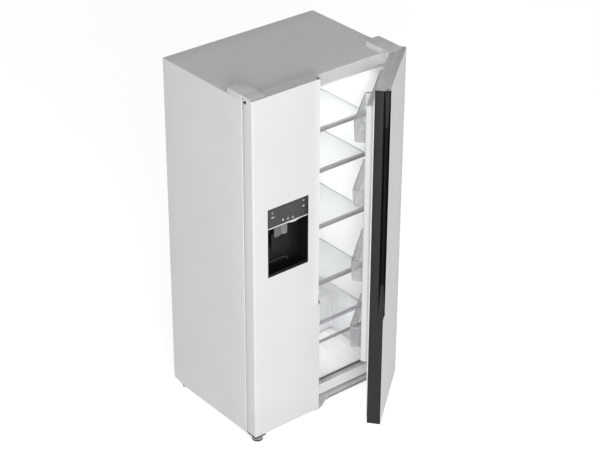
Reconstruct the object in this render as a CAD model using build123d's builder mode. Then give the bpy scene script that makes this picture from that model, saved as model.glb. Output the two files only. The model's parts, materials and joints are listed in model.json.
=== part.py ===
from build123d import *
import os
from math import cos, sin, radians, pi

os.makedirs("parts", exist_ok=True)

# ------------------------------------------------------------------
# Side by side refrigerator: narrow freezer on the left, wide fridge on the
# right.  Millimetres.  +X viewer's right, +Y to the back, +Z up, the origin on
# the floor under the middle of the closed cabinet.
# ------------------------------------------------------------------

# overall
width = 885.0
depth = 660.0
z_cab_top = 1779.0          # cabinet top panel
z_cab_low = 25.0            # lower edge of the side panels
z_door_top = 1800.0         # doors stand a little taller than the cabinet
z_door_low = 33.0
sheet = 1.2                 # painted sheet steel
hx = width / 2
y_front = -depth / 2        # closed door fronts
y_rear = depth / 2

# doors
door_t = 66.0
seal_gap = 7.0
y_door_in = y_front + door_t            # inner plane of a closed door
y_cab = y_door_in + seal_gap            # front plane of the cabinet
x_split_l = -52.0                       # free edge of the freezer door
x_split_r = -47.0                       # free edge of the fridge door
pivot_x = 428.0
pivot_y = -283.0
open_deg = 39.4                         # the fridge door stands open by this much
corner_r = 8.0
cap_t = 15.0
lip_z = 646.0                           # the flared grip lip runs from here to the top
lip_back = 12.5                         # its tip stands back from the free edge
lip_from = 45.0                         # where it leaves the flat front
lip_out = 5.5                           # how far it flares out
grip_d = 28.0                           # depth of the finger recess behind it
grip_in = -303.0                        # inner wall of the recess at its mouth
pin_r = 5.0
pin_clear = 0.08

# compartments (inside faces)
wall = 52.5
liner = 2.0
x_fz0, x_fz1 = -390.0, -82.0
x_fr0, x_fr1 = -24.0, 390.0
z_in0, z_in1 = 101.0, 1716.0
y_in1 = 262.0
y_step, z_step = 96.0, 310.0            # step over the machine space
y_mach = 149.0
z_mach = 261.0
z_base = 40.0

# fridge shelves (underside of the glass) and shelf front
shelf_z = (1425.0, 1210.0, 909.0, 593.0)
y_shelf = -146.0
crisper_cover_z = 372.0
drawer_front = -245.0
drawer_low, drawer_top = 117.0, 345.0

# door bins (lower and upper edge)
fridge_bins = ((1500.0, 1606.0), (1175.0, 1260.0), (776.0, 888.0), (409.0, 526.0))
freezer_bins = ((1480.0, 1590.0), (620.0, 730.0), (300.0, 410.0))
bin_reach = -160.0

# dispenser in the freezer door
dx0, dx1 = -360.5, -124.5
dz0, dz1, dzt = 889.0, 1241.5, 1143.0
y_disp = -260.0                         # back of the cavity
lever_y, lever_z = -268.0, 1094.0       # lever hinge line
flap_y, flap_z = -287.0, 1128.0         # chute flap hinge line

# machine parts
fan_x, fan_z = -120.0, 152.0            # condenser fan
efan_x, efan_z = -236.0, 905.0          # evaporator fan
tray_x, tray_z = -236.0, 1600.0         # ice tray
auger_x, auger_z = -236.0, 1385.0
roller_x, roller_y, roller_r = 401.0, 280.0, 19.0
foot_x, foot_y, foot_r = 411.0, -303.0, 19.0


def block(x0, x1, y0, y1, z0, z1, mode=Mode.ADD):
    """A box between two corners, added to the piece that is being built."""
    with Locations(((x0 + x1) / 2, (y0 + y1) / 2, (z0 + z1) / 2)):
        Box(x1 - x0, y1 - y0, z1 - z0, mode=mode)


def rod_z(x, y, z0, z1, r, mode=Mode.ADD):
    with Locations((x, y, (z0 + z1) / 2)):
        Cylinder(r, z1 - z0, mode=mode)


def rod_y(x, z, y0, y1, r, mode=Mode.ADD):
    with Locations(Location((x, (y0 + y1) / 2, z), (90, 0, 0))):
        Cylinder(r, y1 - y0, mode=mode)


def rod_x(y, z, x0, x1, r, mode=Mode.ADD):
    with Locations(Location(((x0 + x1) / 2, y, z), (0, 90, 0))):
        Cylinder(r, x1 - x0, mode=mode)


# the fridge door's pieces are built closed and turned open about its hinge
hinge_line = Axis((pivot_x, pivot_y, 0), (0, 0, 1))

# ------------------------------------------------------------------ cabinet
with BuildPart() as cabinet_side_panels:
    for s in (-1, 1):
        x_a, x_b = sorted((s * hx, s * (hx - sheet)))
        with BuildSketch(Plane.YZ.offset(x_a)):
            with BuildLine():
                Polyline((y_cab, z_cab_low), (258, z_cab_low), (y_rear, z_cab_low + 16), (y_rear, z_cab_top), (y_cab, z_cab_top), close=True)
            make_face()
        extrude(amount=x_b - x_a)
        x_a, x_b = sorted((s * (hx - sheet), s * (hx - wall)))
        block(x_a, x_b, y_cab, y_cab + sheet, z_base, z_cab_top)
cabinet_side_panels.part.label = "cabinet_side_panels"
export_step(cabinet_side_panels.part, "parts/cabinet_side_panels.step")

with BuildPart() as top_panel:
    block(-hx + sheet, hx - sheet, y_cab + sheet, y_rear, z_cab_top - sheet, z_cab_top)
    block(-hx + wall, hx - wall, y_cab, y_cab + sheet, z_in1, z_cab_top)
top_panel.part.label = "top_panel"
export_step(top_panel.part, "parts/top_panel.step")

with BuildPart() as back_panel:
    block(-hx + sheet, hx - sheet, y_rear - sheet, y_rear, z_mach + 1, z_cab_top - sheet)
back_panel.part.label = "back_panel"
export_step(back_panel.part, "parts/back_panel.step")

with BuildPart() as base_pan:
    block(-hx + sheet, hx - sheet, y_cab + sheet, y_rear - 8, z_base, z_base + 1.5)
    block(-hx + wall, hx - wall, y_cab, y_cab + sheet, z_base, z_in0)
    # rear roller forks with their fixed axles
    for s in (-1, 1):
        for side in (-1, 1):
            xc = s * roller_x + side * 15
            block(xc - 1, xc + 1, roller_y - 17, roller_y + 17, roller_r - 8, z_base)
        rod_x(roller_y, roller_r, s * roller_x - 16, s * roller_x + 16, 4.0)
base_pan.part.label = "base_pan"
export_step(base_pan.part, "parts/base_pan.step")

with BuildPart() as kick_plate:
    block(-372, 372, y_cab, y_cab + 2.5, 4, 32)
    # cover strip over the lower edge of the rail
    block(-372, 372, y_cab - 2.6, y_cab - 0.1, 32.4, 45)
    # rounded toe in the middle that reaches forward under the doors
    with BuildSketch(Plane.XY.offset(8)):
        with BuildLine():
            Bezier((-176, y_cab), (-110, y_cab), (-110, -316), (-45, -316))
            Bezier((-45, -316), (20, -316), (20, y_cab), (86, y_cab))
            Line((86, y_cab), (-176, y_cab))
        make_face()
    extrude(amount=16)
kick_plate.part.label = "kick_plate"
export_step(kick_plate.part, "parts/kick_plate.step")

with BuildPart() as mullion_strip:
    block(x_fz1, x_fr0, y_cab, y_cab + sheet, z_in0, z_in1)
mullion_strip.part.label = "mullion_strip"
export_step(mullion_strip.part, "parts/mullion_strip.step")

# rigid foam walls: separate slabs that stand a hair apart
g = 0.3
with BuildPart() as cabinet_insulation:
    for s in (-1, 1):
        x_a, x_b = sorted((s * (hx - sheet - g), s * (hx - wall + liner + g)))
        block(x_a, x_b, y_cab + sheet + g, y_mach - 0.5, z_base + 2, z_in1 + liner)
        block(x_a, x_b, y_mach, y_rear - sheet - g, z_mach + 2, z_in1 + liner)
    block(x_fz1 + liner + g, x_fr0 - liner - g, y_cab + sheet + g, y_step + liner - 0.5, z_in0 - liner + 0.2, z_in1 + liner)
    block(x_fz1 + liner + g, x_fr0 - liner - g, y_step + liner + g, y_in1 + liner - 0.2, z_step - liner + 0.2, z_in1 + liner)
    block(-hx + sheet + g, hx - sheet - g, y_cab + sheet + g, y_rear - sheet - g, z_in1 + liner + 0.5, z_cab_top - sheet - g)
    block(-391.7, 391.7, y_cab + sheet + g, y_mach - 0.5, z_base + 2, z_in0 - liner - g)
    block(-391.7, 391.7, y_step + liner + g, y_mach - 0.5, z_in0 - liner + 0.7, z_mach + 1.3)
    block(-391.7, 391.7, y_step + liner + g, y_in1 + liner - 0.2, z_mach + 2, z_step - liner - g)
    block(-391.7, 391.7, y_in1 + liner + g, y_rear - sheet - g, z_mach + 2, z_in1 + liner)
cabinet_insulation.part.label = "cabinet_insulation"
export_step(cabinet_insulation.part, "parts/cabinet_insulation.step")


def liner_shell(x0, x1):
    """A thermoformed compartment, open at the front, stepped over the machine space."""
    for d, y0, x_a, x_b, mode in (
        (liner, y_cab + sheet + g, x0 - liner, x1 + liner, Mode.ADD),
        (0.0, y_cab - 5, x0, x1, Mode.SUBTRACT),
    ):
        with BuildSketch(Plane.YZ.offset(x_a)) as side:
            with BuildLine():
                Polyline(
                    (y0, z_in0 - d), (y_step + d, z_in0 - d), (y_step + d, z_step - d),
                    (y_in1 + d, z_step - d), (y_in1 + d, z_in1 + d), (y0, z_in1 + d), close=True)
            make_face()
        extrude(side.sketch, amount=x_b - x_a, mode=mode)


with BuildPart() as freezer_liner:
    liner_shell(x_fz0, x_fz1)
    # shelf ledges
    for z in (1090.0, 850.0, 580.0):
        block(x_fz0 - 1, x_fz0 + 6, -120, 184, z - 8, z)
        block(x_fz1 - 6, x_fz1 + 1, -120, 184, z - 8, z)
    # ledges that carry the ice bin
    block(x_fz0 - 1, x_fz0 + 24, -120, 150, 1336, 1344.8)
    block(x_fz1 - 24, x_fz1 + 1, -120, 150, 1336, 1344.8)
freezer_liner.part.label = "freezer_liner"
export_step(freezer_liner.part, "parts/freezer_liner.step")

with BuildPart() as fridge_liner:
    liner_shell(x_fr0, x_fr1)
    for z in shelf_z + (crisper_cover_z,):
        block(x_fr0 - 1, x_fr0 + 6, -118, 228, z - 8, z)
        block(x_fr1 - 6, x_fr1 + 1, -118, 228, z - 8, z)
    # runners under the crisper drawer
    for x in (20.0, 346.0):
        block(x - 5, x + 5, drawer_front + 5, 92, z_in0 - 1, drawer_low - 0.5)
fridge_liner.part.label = "fridge_liner"
export_step(fridge_liner.part, "parts/fridge_liner.step")

# ------------------------------------------------------------------ fridge inside
with BuildPart() as fridge_shelf_glass:
    for z in shelf_z:
        block(x_fr0 + 2, x_fr1 - 2, y_shelf + 18, 230, z + 0.1, z + 4.1)
fridge_shelf_glass.part.label = "fridge_shelf_glass"
export_step(fridge_shelf_glass.part, "parts/fridge_shelf_glass.step")

with BuildPart() as fridge_shelf_trims:
    for z in shelf_z:
        block(x_fr0 + 2, x_fr1 - 2, y_shelf, y_shelf + 17.8, z - 10, z + 8)
fridge_shelf_trims.part.label = "fridge_shelf_trims"
export_step(fridge_shelf_trims.part, "parts/fridge_shelf_trims.step")

with BuildPart() as crisper_cover:
    block(x_fr0 + 2, x_fr1 - 2, y_shelf + 6, 230, crisper_cover_z + 0.1, crisper_cover_z + 5)
    block(x_fr0 + 8, x_fr1 - 8, y_shelf, y_shelf + 6, crisper_cover_z - 20, crisper_cover_z + 5)
crisper_cover.part.label = "crisper_cover"
export_step(crisper_cover.part, "parts/crisper_cover.step")

with BuildPart() as crisper_drawer:
    block(-17, 383, drawer_front, 90, drawer_low, drawer_top)
    block(-14.5, 380.5, drawer_front + 3, 87.5, drawer_low + 2.5, drawer_top + 1, mode=Mode.SUBTRACT)
    # front rim that the hand pulls
    block(-17, 383, drawer_front - 0, drawer_front + 14, drawer_top - 12, drawer_top)
crisper_drawer.part.label = "crisper_drawer"
export_step(crisper_drawer.part, "parts/crisper_drawer.step")

with BuildPart() as fridge_air_duct:
    block(128, 238, 234, y_in1 - g, 400, 1700)
    block(131, 235, 237, y_in1 + 1, 403, 1697, mode=Mode.SUBTRACT)
    for z in (1320.0, 1560.0, 1060.0, 760.0, 470.0):
        for dx in (-30.0, 0.0, 30.0):
            block(183 + dx - 11, 183 + dx + 11, 233, 240, z - 5, z + 5, mode=Mode.SUBTRACT)
fridge_air_duct.part.label = "fridge_air_duct"
export_step(fridge_air_duct.part, "parts/fridge_air_duct.step")

with BuildPart() as interior_lamps:
    block(100, 270, -60, 10, z_in1 - 12, z_in1 - 0.2)
    block(-300, -170, -150, -100, z_in1 - 12, z_in1 - 0.2)
interior_lamps.part.label = "interior_lamps"
export_step(interior_lamps.part, "parts/interior_lamps.step")

# ------------------------------------------------------------------ freezer inside
with BuildPart() as freezer_shelves:
    for z in (1090.0, 850.0, 580.0):
        block(x_fz0 + 2, x_fz1 - 2, -146, 186, z + 0.1, z + 4.1)
freezer_shelves.part.label = "freezer_shelves"
export_step(freezer_shelves.part, "parts/freezer_shelves.step")

with BuildPart() as freezer_drawers:
    for z0, z1, y1 in ((z_in0 + 0.2, 296.0, 92.0), (z_step + 0.2, 560.0, 184.0)):
        block(-386, -86, -148, y1, z0, z1)
        block(-383.5, -88.5, -145.5, y1 - 2.5, z0 + 2.5, z1 + 1, mode=Mode.SUBTRACT)
freezer_drawers.part.label = "freezer_drawers"
export_step(freezer_drawers.part, "parts/freezer_drawers.step")

with BuildPart() as evaporator_cover:
    block(x_fz0 + 0.5, x_fz1 - 0.5, 190, 192.5, z_step + 1, z_in1 - 1)
    rod_y(efan_x, efan_z, 185, 195, 52, mode=Mode.SUBTRACT)
    for i in range(5):
        block(-350, -122, 185, 195, 360 + 22 * i, 368 + 22 * i, mode=Mode.SUBTRACT)
    # fan guard
    for r in (20.0, 36.0):
        rod_y(efan_x, efan_z, 190, 192.5, r + 1.5)
        rod_y(efan_x, efan_z, 185, 195, r - 1.5, mode=Mode.SUBTRACT)
    for a in (0, 90):
        with Locations(Location((efan_x, 191.25, efan_z), (0, a + 45, 0))):
            Box(107, 2.5, 4)
evaporator_cover.part.label = "evaporator_cover"
export_step(evaporator_cover.part, "parts/evaporator_cover.step")

with BuildPart() as evaporator:
    for i in range(4):
        z = 385 + 80 * i
        for y in (212.0, 240.0):
            rod_x(y, z, -368, -104, 5)
    for i in range(23):
        x = -360 + 11.2 * i
        block(x - 0.4, x + 0.4, 202, y_in1 - 0.2 if i in (0, 22) else 250, 365, 645)
evaporator.part.label = "evaporator"
export_step(evaporator.part, "parts/evaporator.step")

with BuildPart() as evaporator_fan:
    rod_y(efan_x, efan_z, 206, 222, 15)
    for i in range(5):
        with Locations(Location((efan_x, 214, efan_z), (0, 72 * i, 0))):
            with Locations(Location((30, 0, 0), (28, 0, 0))):
                Box(36, 1.6, 24)
    rod_y(efan_x, efan_z, 222, 234, 3)
evaporator_fan.part.label = "evaporator_fan"
export_step(evaporator_fan.part, "parts/evaporator_fan.step")

with BuildPart() as fan_motors:
    # evaporator fan motor on its cross bar
    rod_y(efan_x, efan_z, 228, 252, 22)
    block(x_fz0 + 0.3, x_fz1 - 0.3, 244, 248, efan_z - 9, efan_z + 9)
    rod_y(efan_x, efan_z, 227, 236, 3 + pin_clear, mode=Mode.SUBTRACT)
    # condenser fan motor in its bracket
    rod_x(238, fan_z, fan_x + 26, fan_x + 60, 24)
    block(fan_x + 40, fan_x + 44, 226, 250, z_base + 1.8, fan_z)
    rod_x(238, fan_z, fan_x + 24, fan_x + 36, 3 + pin_clear, mode=Mode.SUBTRACT)
fan_motors.part.label = "fan_motors"
export_step(fan_motors.part, "parts/fan_motors.step")

with BuildPart() as ice_maker:
    block(-306, -166, -66, 136, 1658, 1663)
    block(-306, -166, -66, -63, 1570, 1660)
    block(-306, -166, 133, 136, 1570, 1660)
    block(-290, -182, -66, 188, 1660, 1690)
    block(-287, -185, -60, 185, 1663.5, 1687, mode=Mode.SUBTRACT)
    block(-270, -202, 20, 60, 1689, z_in1 - 0.2)
    rod_y(tray_x, tray_z, -70, 140, 5 + pin_clear, mode=Mode.SUBTRACT)
    # drive housing of the tray
    block(-276, -196, 139.5, 186, 1565, 1661)
ice_maker.part.label = "ice_maker"
export_step(ice_maker.part, "parts/ice_maker.step")

with BuildPart() as ice_tray:
    block(tray_x - 46, tray_x + 46, -58, 128, tray_z - 15, tray_z + 13)
    for i in range(6):
        for sgn in (-1, 1):
            xc = tray_x + sgn * 22.5
            yc = -58 + 17 + 30.4 * i
            block(xc - 19.5, xc + 19.5, yc - 13.5, yc + 13.5, tray_z - 12.5, tray_z + 14, mode=Mode.SUBTRACT)
    rod_y(tray_x, tray_z, -65.5, -57, 5)
    rod_y(tray_x, tray_z, 127, 136, 5)
ice_tray.part.label = "ice_tray"
export_step(ice_tray.part, "parts/ice_tray.step")

with BuildPart() as ice_bin:
    block(-376, -98, -146, 160, 1345, 1500)
    block(-373, -101, -143, 157, 1348, 1501, mode=Mode.SUBTRACT)
    # drop opening above the door chute
    block(-316, -244, -144, -100, 1340, 1350, mode=Mode.SUBTRACT)
    rod_y(auger_x, auger_z, -150, 170, 6 + pin_clear, mode=Mode.SUBTRACT)
ice_bin.part.label = "ice_bin"
export_step(ice_bin.part, "parts/ice_bin.step")

with BuildPart() as auger:
    rod_y(auger_x, auger_z, -145.5, 182, 6)
    for i in range(12):
        with Locations(Location((auger_x, -120 + 22 * i, auger_z), (0, 40 * i, 0))):
            with Locations(Location((15, 0, 0), (24, 0, 0))):
                Box(30, 4, 14)
auger.part.label = "auger"
export_step(auger.part, "parts/auger.step")

# ------------------------------------------------------------------ machine space
with BuildPart() as compressor:
    with BuildSketch(Plane.XY.offset(72)):
        Ellipse(82, 62)
    extrude(amount=110)
    fillet(compressor.edges().group_by(Axis.Z)[-1], 30)
    fillet(compressor.edges().group_by(Axis.Z)[0], 18)
    block(-95, 95, -20, 20, 68, 74)
    for sx in (-80.0, 80.0):
        rod_z(sx, 0, 60, 70, 13)
    rod_z(30, 0, 180, 200, 5)
compressor.part = compressor.part.moved(Location((170, 236, -18.4)))
compressor.part.label = "compressor"
export_step(compressor.part, "parts/compressor.step")

with BuildPart() as condenser_coil:
    for i in range(6):
        z = 70 + 28 * i
        for y in (190.0, 215.0, 240.0, 265.0):
            rod_x(y, z, -400, -190, 3.2)
    for i in range(15):
        x = -395 + 14 * i
        block(x - 0.5, x + 0.5, 180, 275, z_base + 1.7 if i in (0, 14) else 56, 226)
condenser_coil.part.label = "condenser_coil"
export_step(condenser_coil.part, "parts/condenser_coil.step")

with BuildPart() as condenser_fan:
    rod_x(238, fan_z, fan_x + 4, fan_x + 18, 18)
    for i in range(5):
        with Locations(Location((fan_x + 11, 238, fan_z), (72 * i, 0, 0))):
            with Locations(Location((0, 0, 46), (0, 0, 30))):
                Box(1.8, 30, 62)
    rod_x(238, fan_z, fan_x + 18, fan_x + 34, 3)
condenser_fan.part.label = "condenser_fan"
export_step(condenser_fan.part, "parts/condenser_fan.step")

with BuildPart() as machine_cover:
    block(-hx + 4, hx - 4, y_rear - 5, y_rear - 3, z_base + 4, z_mach)
    for row in range(5):
        for i in range(9):
            x = -380 + 52 * i
            block(x - 20, x + 20, y_rear - 8, y_rear, 84 + 30 * row, 92 + 30 * row, mode=Mode.SUBTRACT)
    block(300, 352, y_rear - 8, y_rear, 110, 162, mode=Mode.SUBTRACT)
    rod_y(398, 214, y_rear - 8, y_rear, 9.2, mode=Mode.SUBTRACT)
machine_cover.part.label = "machine_cover"
export_step(machine_cover.part, "parts/machine_cover.step")

with BuildPart() as water_valve:
    block(302, 350, 282, y_rear - 14, 112, 160)
    rod_y(326, 136, y_rear - 15, y_rear - 0.5, 13.2)
    rod_y(326, 136, y_rear - 20, y_rear, 8, mode=Mode.SUBTRACT)
    block(312, 340, 258, 284, 120, 152)
    block(318, 334, 290, 294, z_base + 1.7, 115)
water_valve.part.label = "water_valve"
export_step(water_valve.part, "parts/water_valve.step")

with BuildPart() as cord_gland:
    rod_y(398, 214, y_rear - 14, y_rear - 0.5, 9)
    rod_y(398, 214, y_rear - 14, y_rear - 5.2, 13)
    rod_y(398, 214, y_rear - 16, y_rear, 5, mode=Mode.SUBTRACT)
cord_gland.part.label = "cord_gland"
export_step(cord_gland.part, "parts/cord_gland.step")

# ------------------------------------------------------------------ hinges and feet
with BuildPart() as lower_hinges:
    for s in (-1, 1):
        x_a, x_b = sorted((s * 440, s * 380))
        block(x_a, x_b, -329, -200, 26, 30)
        x_a, x_b = sorted((s * 438, s * 385))
        block(x_a, x_b, -250, -200, 29, z_base)
        rod_z(s * pivot_x, pivot_y, 28, 46, pin_r)
        rod_z(s * foot_x, foot_y, 20, 35, 5 + pin_clear, mode=Mode.SUBTRACT)
lower_hinges.part.label = "lower_hinges"
export_step(lower_hinges.part, "parts/lower_hinges.step")

with BuildPart() as upper_hinges:
    for s in (-1, 1):
        x_a, x_b = sorted((s * 436, s * 366))
        block(x_a, x_b, -246, -160, z_cab_top, z_cab_top + 3)
        x_a, x_b = sorted((s * 436, s * 400))
        block(x_a, x_b, -250, -246, z_cab_top, z_door_top + 4.5)
        block(x_a, x_b, -300, -250, z_door_top + 1.5, z_door_top + 4.5)
        rod_z(s * pivot_x, pivot_y, z_door_top - 13, z_door_top + 3, pin_r)
        for y in (-226.0, -180.0):
            rod_z(s * 384, y, z_cab_top - 1, z_cab_top + 4, 3.5, mode=Mode.SUBTRACT)
            rod_z(s * 420, y, z_cab_top - 1, z_cab_top + 4, 3.5, mode=Mode.SUBTRACT)
upper_hinges.part.label = "upper_hinges"
export_step(upper_hinges.part, "parts/upper_hinges.step")

with BuildPart() as cabinet_screws:
    for s in (-1, 1):
        for y in (-226.0, -180.0):
            for x in (384.0, 420.0):
                rod_z(s * x, y, z_cab_top + 3, z_cab_top + 7, 6)
                rod_z(s * x, y, z_cab_top, z_cab_top + 4, 3.3)
cabinet_screws.part.label = "cabinet_screws"
export_step(cabinet_screws.part, "parts/cabinet_screws.step")

z_cover = z_door_top + 7
with BuildPart() as hinge_covers:
    for s in (-1, 1):
        with BuildSketch(Plane.XY.offset(z_cab_top + 0.1)) as cover_plan:
            x_a, x_b = sorted((s * hx, s * 355))
            with Locations(((x_a + x_b) / 2, (y_cab - 147) / 2)):
                Rectangle(x_b - x_a, -147 - y_cab)
            fillet(cover_plan.vertices().group_by(Axis.Y)[-1], 10)
        extrude(amount=z_cover - z_cab_top - 0.1)
        with BuildSketch(Plane.XY.offset(z_door_top + 1.2)) as nose_plan:
            x_a, x_b = sorted((s * 440, s * 374))
            with Locations(((x_a + x_b) / 2, (y_cab - 320) / 2)):
                Rectangle(x_b - x_a, y_cab + 320)
            fillet(nose_plan.vertices().group_by(Axis.Y)[0], 22)
        extrude(amount=z_cover - z_door_top - 1.2)
        # hollow underneath
        x_a, x_b = sorted((s * (hx - 2), s * 357))
        block(x_a, x_b, y_cab + 2, -149, z_cab_top - 1, z_cover - 2, mode=Mode.SUBTRACT)
        x_a, x_b = sorted((s * 438, s * 376))
        block(x_a, x_b, -302, y_cab + 3, z_door_top, z_cover - 2, mode=Mode.SUBTRACT)
hinge_covers.part.label = "hinge_covers"
export_step(hinge_covers.part, "parts/hinge_covers.step")



def foot(s):
    rod_z(s * foot_x, foot_y, 0, 9, foot_r)
    rod_z(s * foot_x, foot_y, 9, 14, 11)
    rod_z(s * foot_x, foot_y, 14, 31.5, 5)


def roller(s):
    rod_x(roller_y, roller_r, s * roller_x - 13, s * roller_x + 13, roller_r)


def roller_bore(s):
    rod_x(roller_y, roller_r, s * roller_x - 14, s * roller_x + 14, 4.0 + pin_clear, mode=Mode.SUBTRACT)


with BuildPart() as front_foot_left:
    foot(-1)
    fillet(front_foot_left.edges().group_by(Axis.Z)[0], 1.5)
front_foot_left.part.label = "front_foot_left"
export_step(front_foot_left.part, "parts/front_foot_left.step")

with BuildPart() as front_foot_right:
    foot(1)
    fillet(front_foot_right.edges().group_by(Axis.Z)[0], 1.5)
front_foot_right.part.label = "front_foot_right"
export_step(front_foot_right.part, "parts/front_foot_right.step")

with BuildPart() as rear_roller_left:
    roller(-1)
    fillet(rear_roller_left.edges(), 1.5)
    roller_bore(-1)
rear_roller_left.part.label = "rear_roller_left"
export_step(rear_roller_left.part, "parts/rear_roller_left.step")

with BuildPart() as rear_roller_right:
    roller(1)
    fillet(rear_roller_right.edges(), 1.5)
    roller_bore(1)
rear_roller_right.part.label = "rear_roller_right"
export_step(rear_roller_right.part, "parts/rear_roller_right.step")


# ------------------------------------------------------------------ doors
def skin_plan(s, x_free):
    """Front sheet with the folded hinge side, rounded at the outer corner (s is the side of the hinge).
    Along the grip its free edge is set back and flared outward into a lip."""
    for d, mode in ((0.0, Mode.ADD), (sheet, Mode.SUBTRACT)):
        x_a, x_b = sorted((s * (hx - d), x_free + s * (lip_from - (2 if d else 0))))
        y_a, y_b = y_front + d, y_door_in + (2 if d else 0)
        with BuildSketch(Plane.XY.offset(z_door_low)) as plan:
            with Locations(((x_a + x_b) / 2, (y_a + y_b) / 2)):
                Rectangle(x_b - x_a, y_b - y_a)
            corner = plan.vertices().sort_by_distance(Vector(s * hx, y_front, z_door_low))[0]
            fillet(corner, corner_r - d)
        extrude(plan.sketch, amount=z_door_top - z_door_low, mode=mode)
    x_a, x_b = sorted((x_free, x_free + s * (lip_from + 1)))
    block(x_a, x_b, y_front, y_front + sheet, z_door_low, lip_z)
    with BuildSketch(Plane.XY.offset(lip_z)) as lip:
        with BuildLine():
            Polyline(*[(x_free + s * u, y) for u, y in (
                (lip_from + 1, y_front), (lip_from, y_front), (lip_back, y_front - lip_out),
                (lip_back + 0.2, y_front - lip_out + sheet), (lip_from, y_front + sheet), (lip_from + 1, y_front + sheet))], close=True)
        make_face()
    extrude(lip.sketch, amount=z_door_top - lip_z)


def inner_plan(s, x_free, z0, z1, inset, y_in):
    """A slab that fits inside the skin, rounded at the same corner."""
    x_a, x_b = sorted((s * (hx - sheet - inset), x_free))
    y_a = y_front + sheet + inset
    with BuildSketch(Plane.XY.offset(z0)) as plan:
        with Locations(((x_a + x_b) / 2, (y_a + y_in) / 2)):
            Rectangle(x_b - x_a, y_in - y_a)
        corner = plan.vertices().sort_by_distance(Vector(s * hx, y_front, z0))[0]
        fillet(corner, corner_r - sheet)
    extrude(plan.sketch, amount=z1 - z0)


def door_caps(s, x_free):
    """Moulded end caps with the bushes that turn on the hinge pins."""
    inner_plan(s, x_free + s * 3.2, z_door_top - cap_t, z_door_top, 0.1, y_door_in)
    x_a, x_b = sorted((x_free - s, x_free + s * (grip_d + 3.4)))
    block(x_a, x_b, y_front - 10, grip_in + 3.2, z_door_top - cap_t - 1, z_door_top + 1, mode=Mode.SUBTRACT)
    inner_plan(s, x_free + s * 3.2, z_door_low, z_door_low + cap_t, 0.1, y_door_in)
    rod_z(s * pivot_x, pivot_y, z_door_top - 13.5, z_door_top + 1, pin_r + pin_clear, mode=Mode.SUBTRACT)
    rod_z(s * pivot_x, pivot_y, z_door_low - 1, 46.5, pin_r + pin_clear, mode=Mode.SUBTRACT)


def handle_trim(s, x_free):
    """Dark edge trim with the long finger recess of the handle, which runs out in a ramp at each end."""
    def run(u0, u1, y0, y1, z0, z1):
        x_a, x_b = sorted((x_free + s * u0, x_free + s * u1))
        block(x_a, x_b, y0, y1, z0, z1)
    run(0, 3, y_front + sheet + 0.1, y_door_in, z_door_low, lip_z)
    run(0, 3, grip_in, y_door_in, lip_z - 1, z_door_top)
    run(0, grip_d + 3, y_front + sheet + 0.1, grip_in + 2.8, lip_z - 2.5, lip_z + 0.4)
    # walls of the recess
    slope = lip_out / (lip_from - lip_back)
    y_tip = y_front - lip_out + sheet + 0.15
    with BuildSketch(Plane.XY.offset(lip_z + 0.1)) as trough:
        with BuildLine():
            Polyline(*[(x_free + s * u, y) for u, y in (
                (0, grip_in), (grip_d, grip_in - 7), (grip_d, y_front + 6), (lip_back + 0.4, y_tip + 2.9), (lip_back + 0.4, y_tip),
                (grip_d + 3, y_tip + slope * (grip_d + 2.6 - lip_back)), (grip_d + 3, grip_in - 4.2), (3, grip_in + 2.8), (0, grip_in + 2.8))], close=True)
        make_face()
    extrude(trough.sketch, amount=z_door_top - lip_z - 0.1)
    # ramps
    for ramp in (((2, lip_z - 2), (grip_d + 0.5, lip_z - 2), (grip_d + 0.5, 800)), ((14, z_door_top), (grip_d + 0.5, z_door_top), (grip_d + 0.5, 1610))):
        with BuildSketch(Plane.XZ.offset(-(y_front + 2))) as wedge:
            with BuildLine():
                Polyline(*[(x_free + s * u, z) for u, z in ramp], close=True)
            make_face()
        extrude(wedge.sketch, amount=-(grip_in - 1.5 - y_front - 2))


def dyke_ring(s, x0, x1, z0, z1, w, d_out, shrink, y0, y1, mode):
    """The raised rectangular bead of a door liner."""
    with BuildSketch(Plane.XZ.offset(-y0)) as ring:
        with Locations(((x0 + x1) / 2, (z0 + z1) / 2)):
            Rectangle(x1 - x0 - 2 * shrink, z1 - z0 - 2 * shrink)
            Rectangle(x1 - x0 - 2 * w + 2 * shrink, z1 - z0 - 2 * w + 2 * shrink, mode=Mode.SUBTRACT)
    extrude(ring.sketch, amount=-(y1 - y0), mode=mode)


def gasket_ring(x0, x1, z0, z1):
    with BuildSketch(Plane.XZ.offset(-(y_door_in + 0.05))) as ring:
        with Locations(((x0 + x1) / 2, (z0 + z1) / 2)):
            Rectangle(x1 - x0, z1 - z0)
            Rectangle(x1 - x0 - 36, z1 - z0 - 36, mode=Mode.SUBTRACT)
    extrude(ring.sketch, amount=-(seal_gap - 0.55))


def bins(x0, x1, levels):
    for z0, z1 in levels:
        block(x0, x1, y_door_in + 1, bin_reach, z0, z1)
        block(x0 + 2.5, x1 - 2.5, y_door_in + 3.5, bin_reach - 2.5, z0 + 2.5, z1 + 1, mode=Mode.SUBTRACT)


# the bead's outside, closed: fridge
bx0, bx1, bz0, bz1, bw, bh = -14.0, 370.0, 360.0, 1706.0, 30.0, 42.0
y_bead = y_door_in + bh

with BuildPart() as fridge_door_skin:
    skin_plan(1, x_split_r)
fridge_door_skin.part = fridge_door_skin.part.rotate(hinge_line, open_deg)
fridge_door_skin.part.label = "fridge_door_skin"
export_step(fridge_door_skin.part, "parts/fridge_door_skin.step")

with BuildPart() as fridge_door_caps:
    door_caps(1, x_split_r)
fridge_door_caps.part = fridge_door_caps.part.rotate(hinge_line, open_deg)
fridge_door_caps.part.label = "fridge_door_caps"
export_step(fridge_door_caps.part, "parts/fridge_door_caps.step")

with BuildPart() as fridge_door_handle:
    handle_trim(1, x_split_r)
fridge_door_handle.part = fridge_door_handle.part.rotate(hinge_line, open_deg)
fridge_door_handle.part.label = "fridge_door_handle"
export_step(fridge_door_handle.part, "parts/fridge_door_handle.step")

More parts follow.
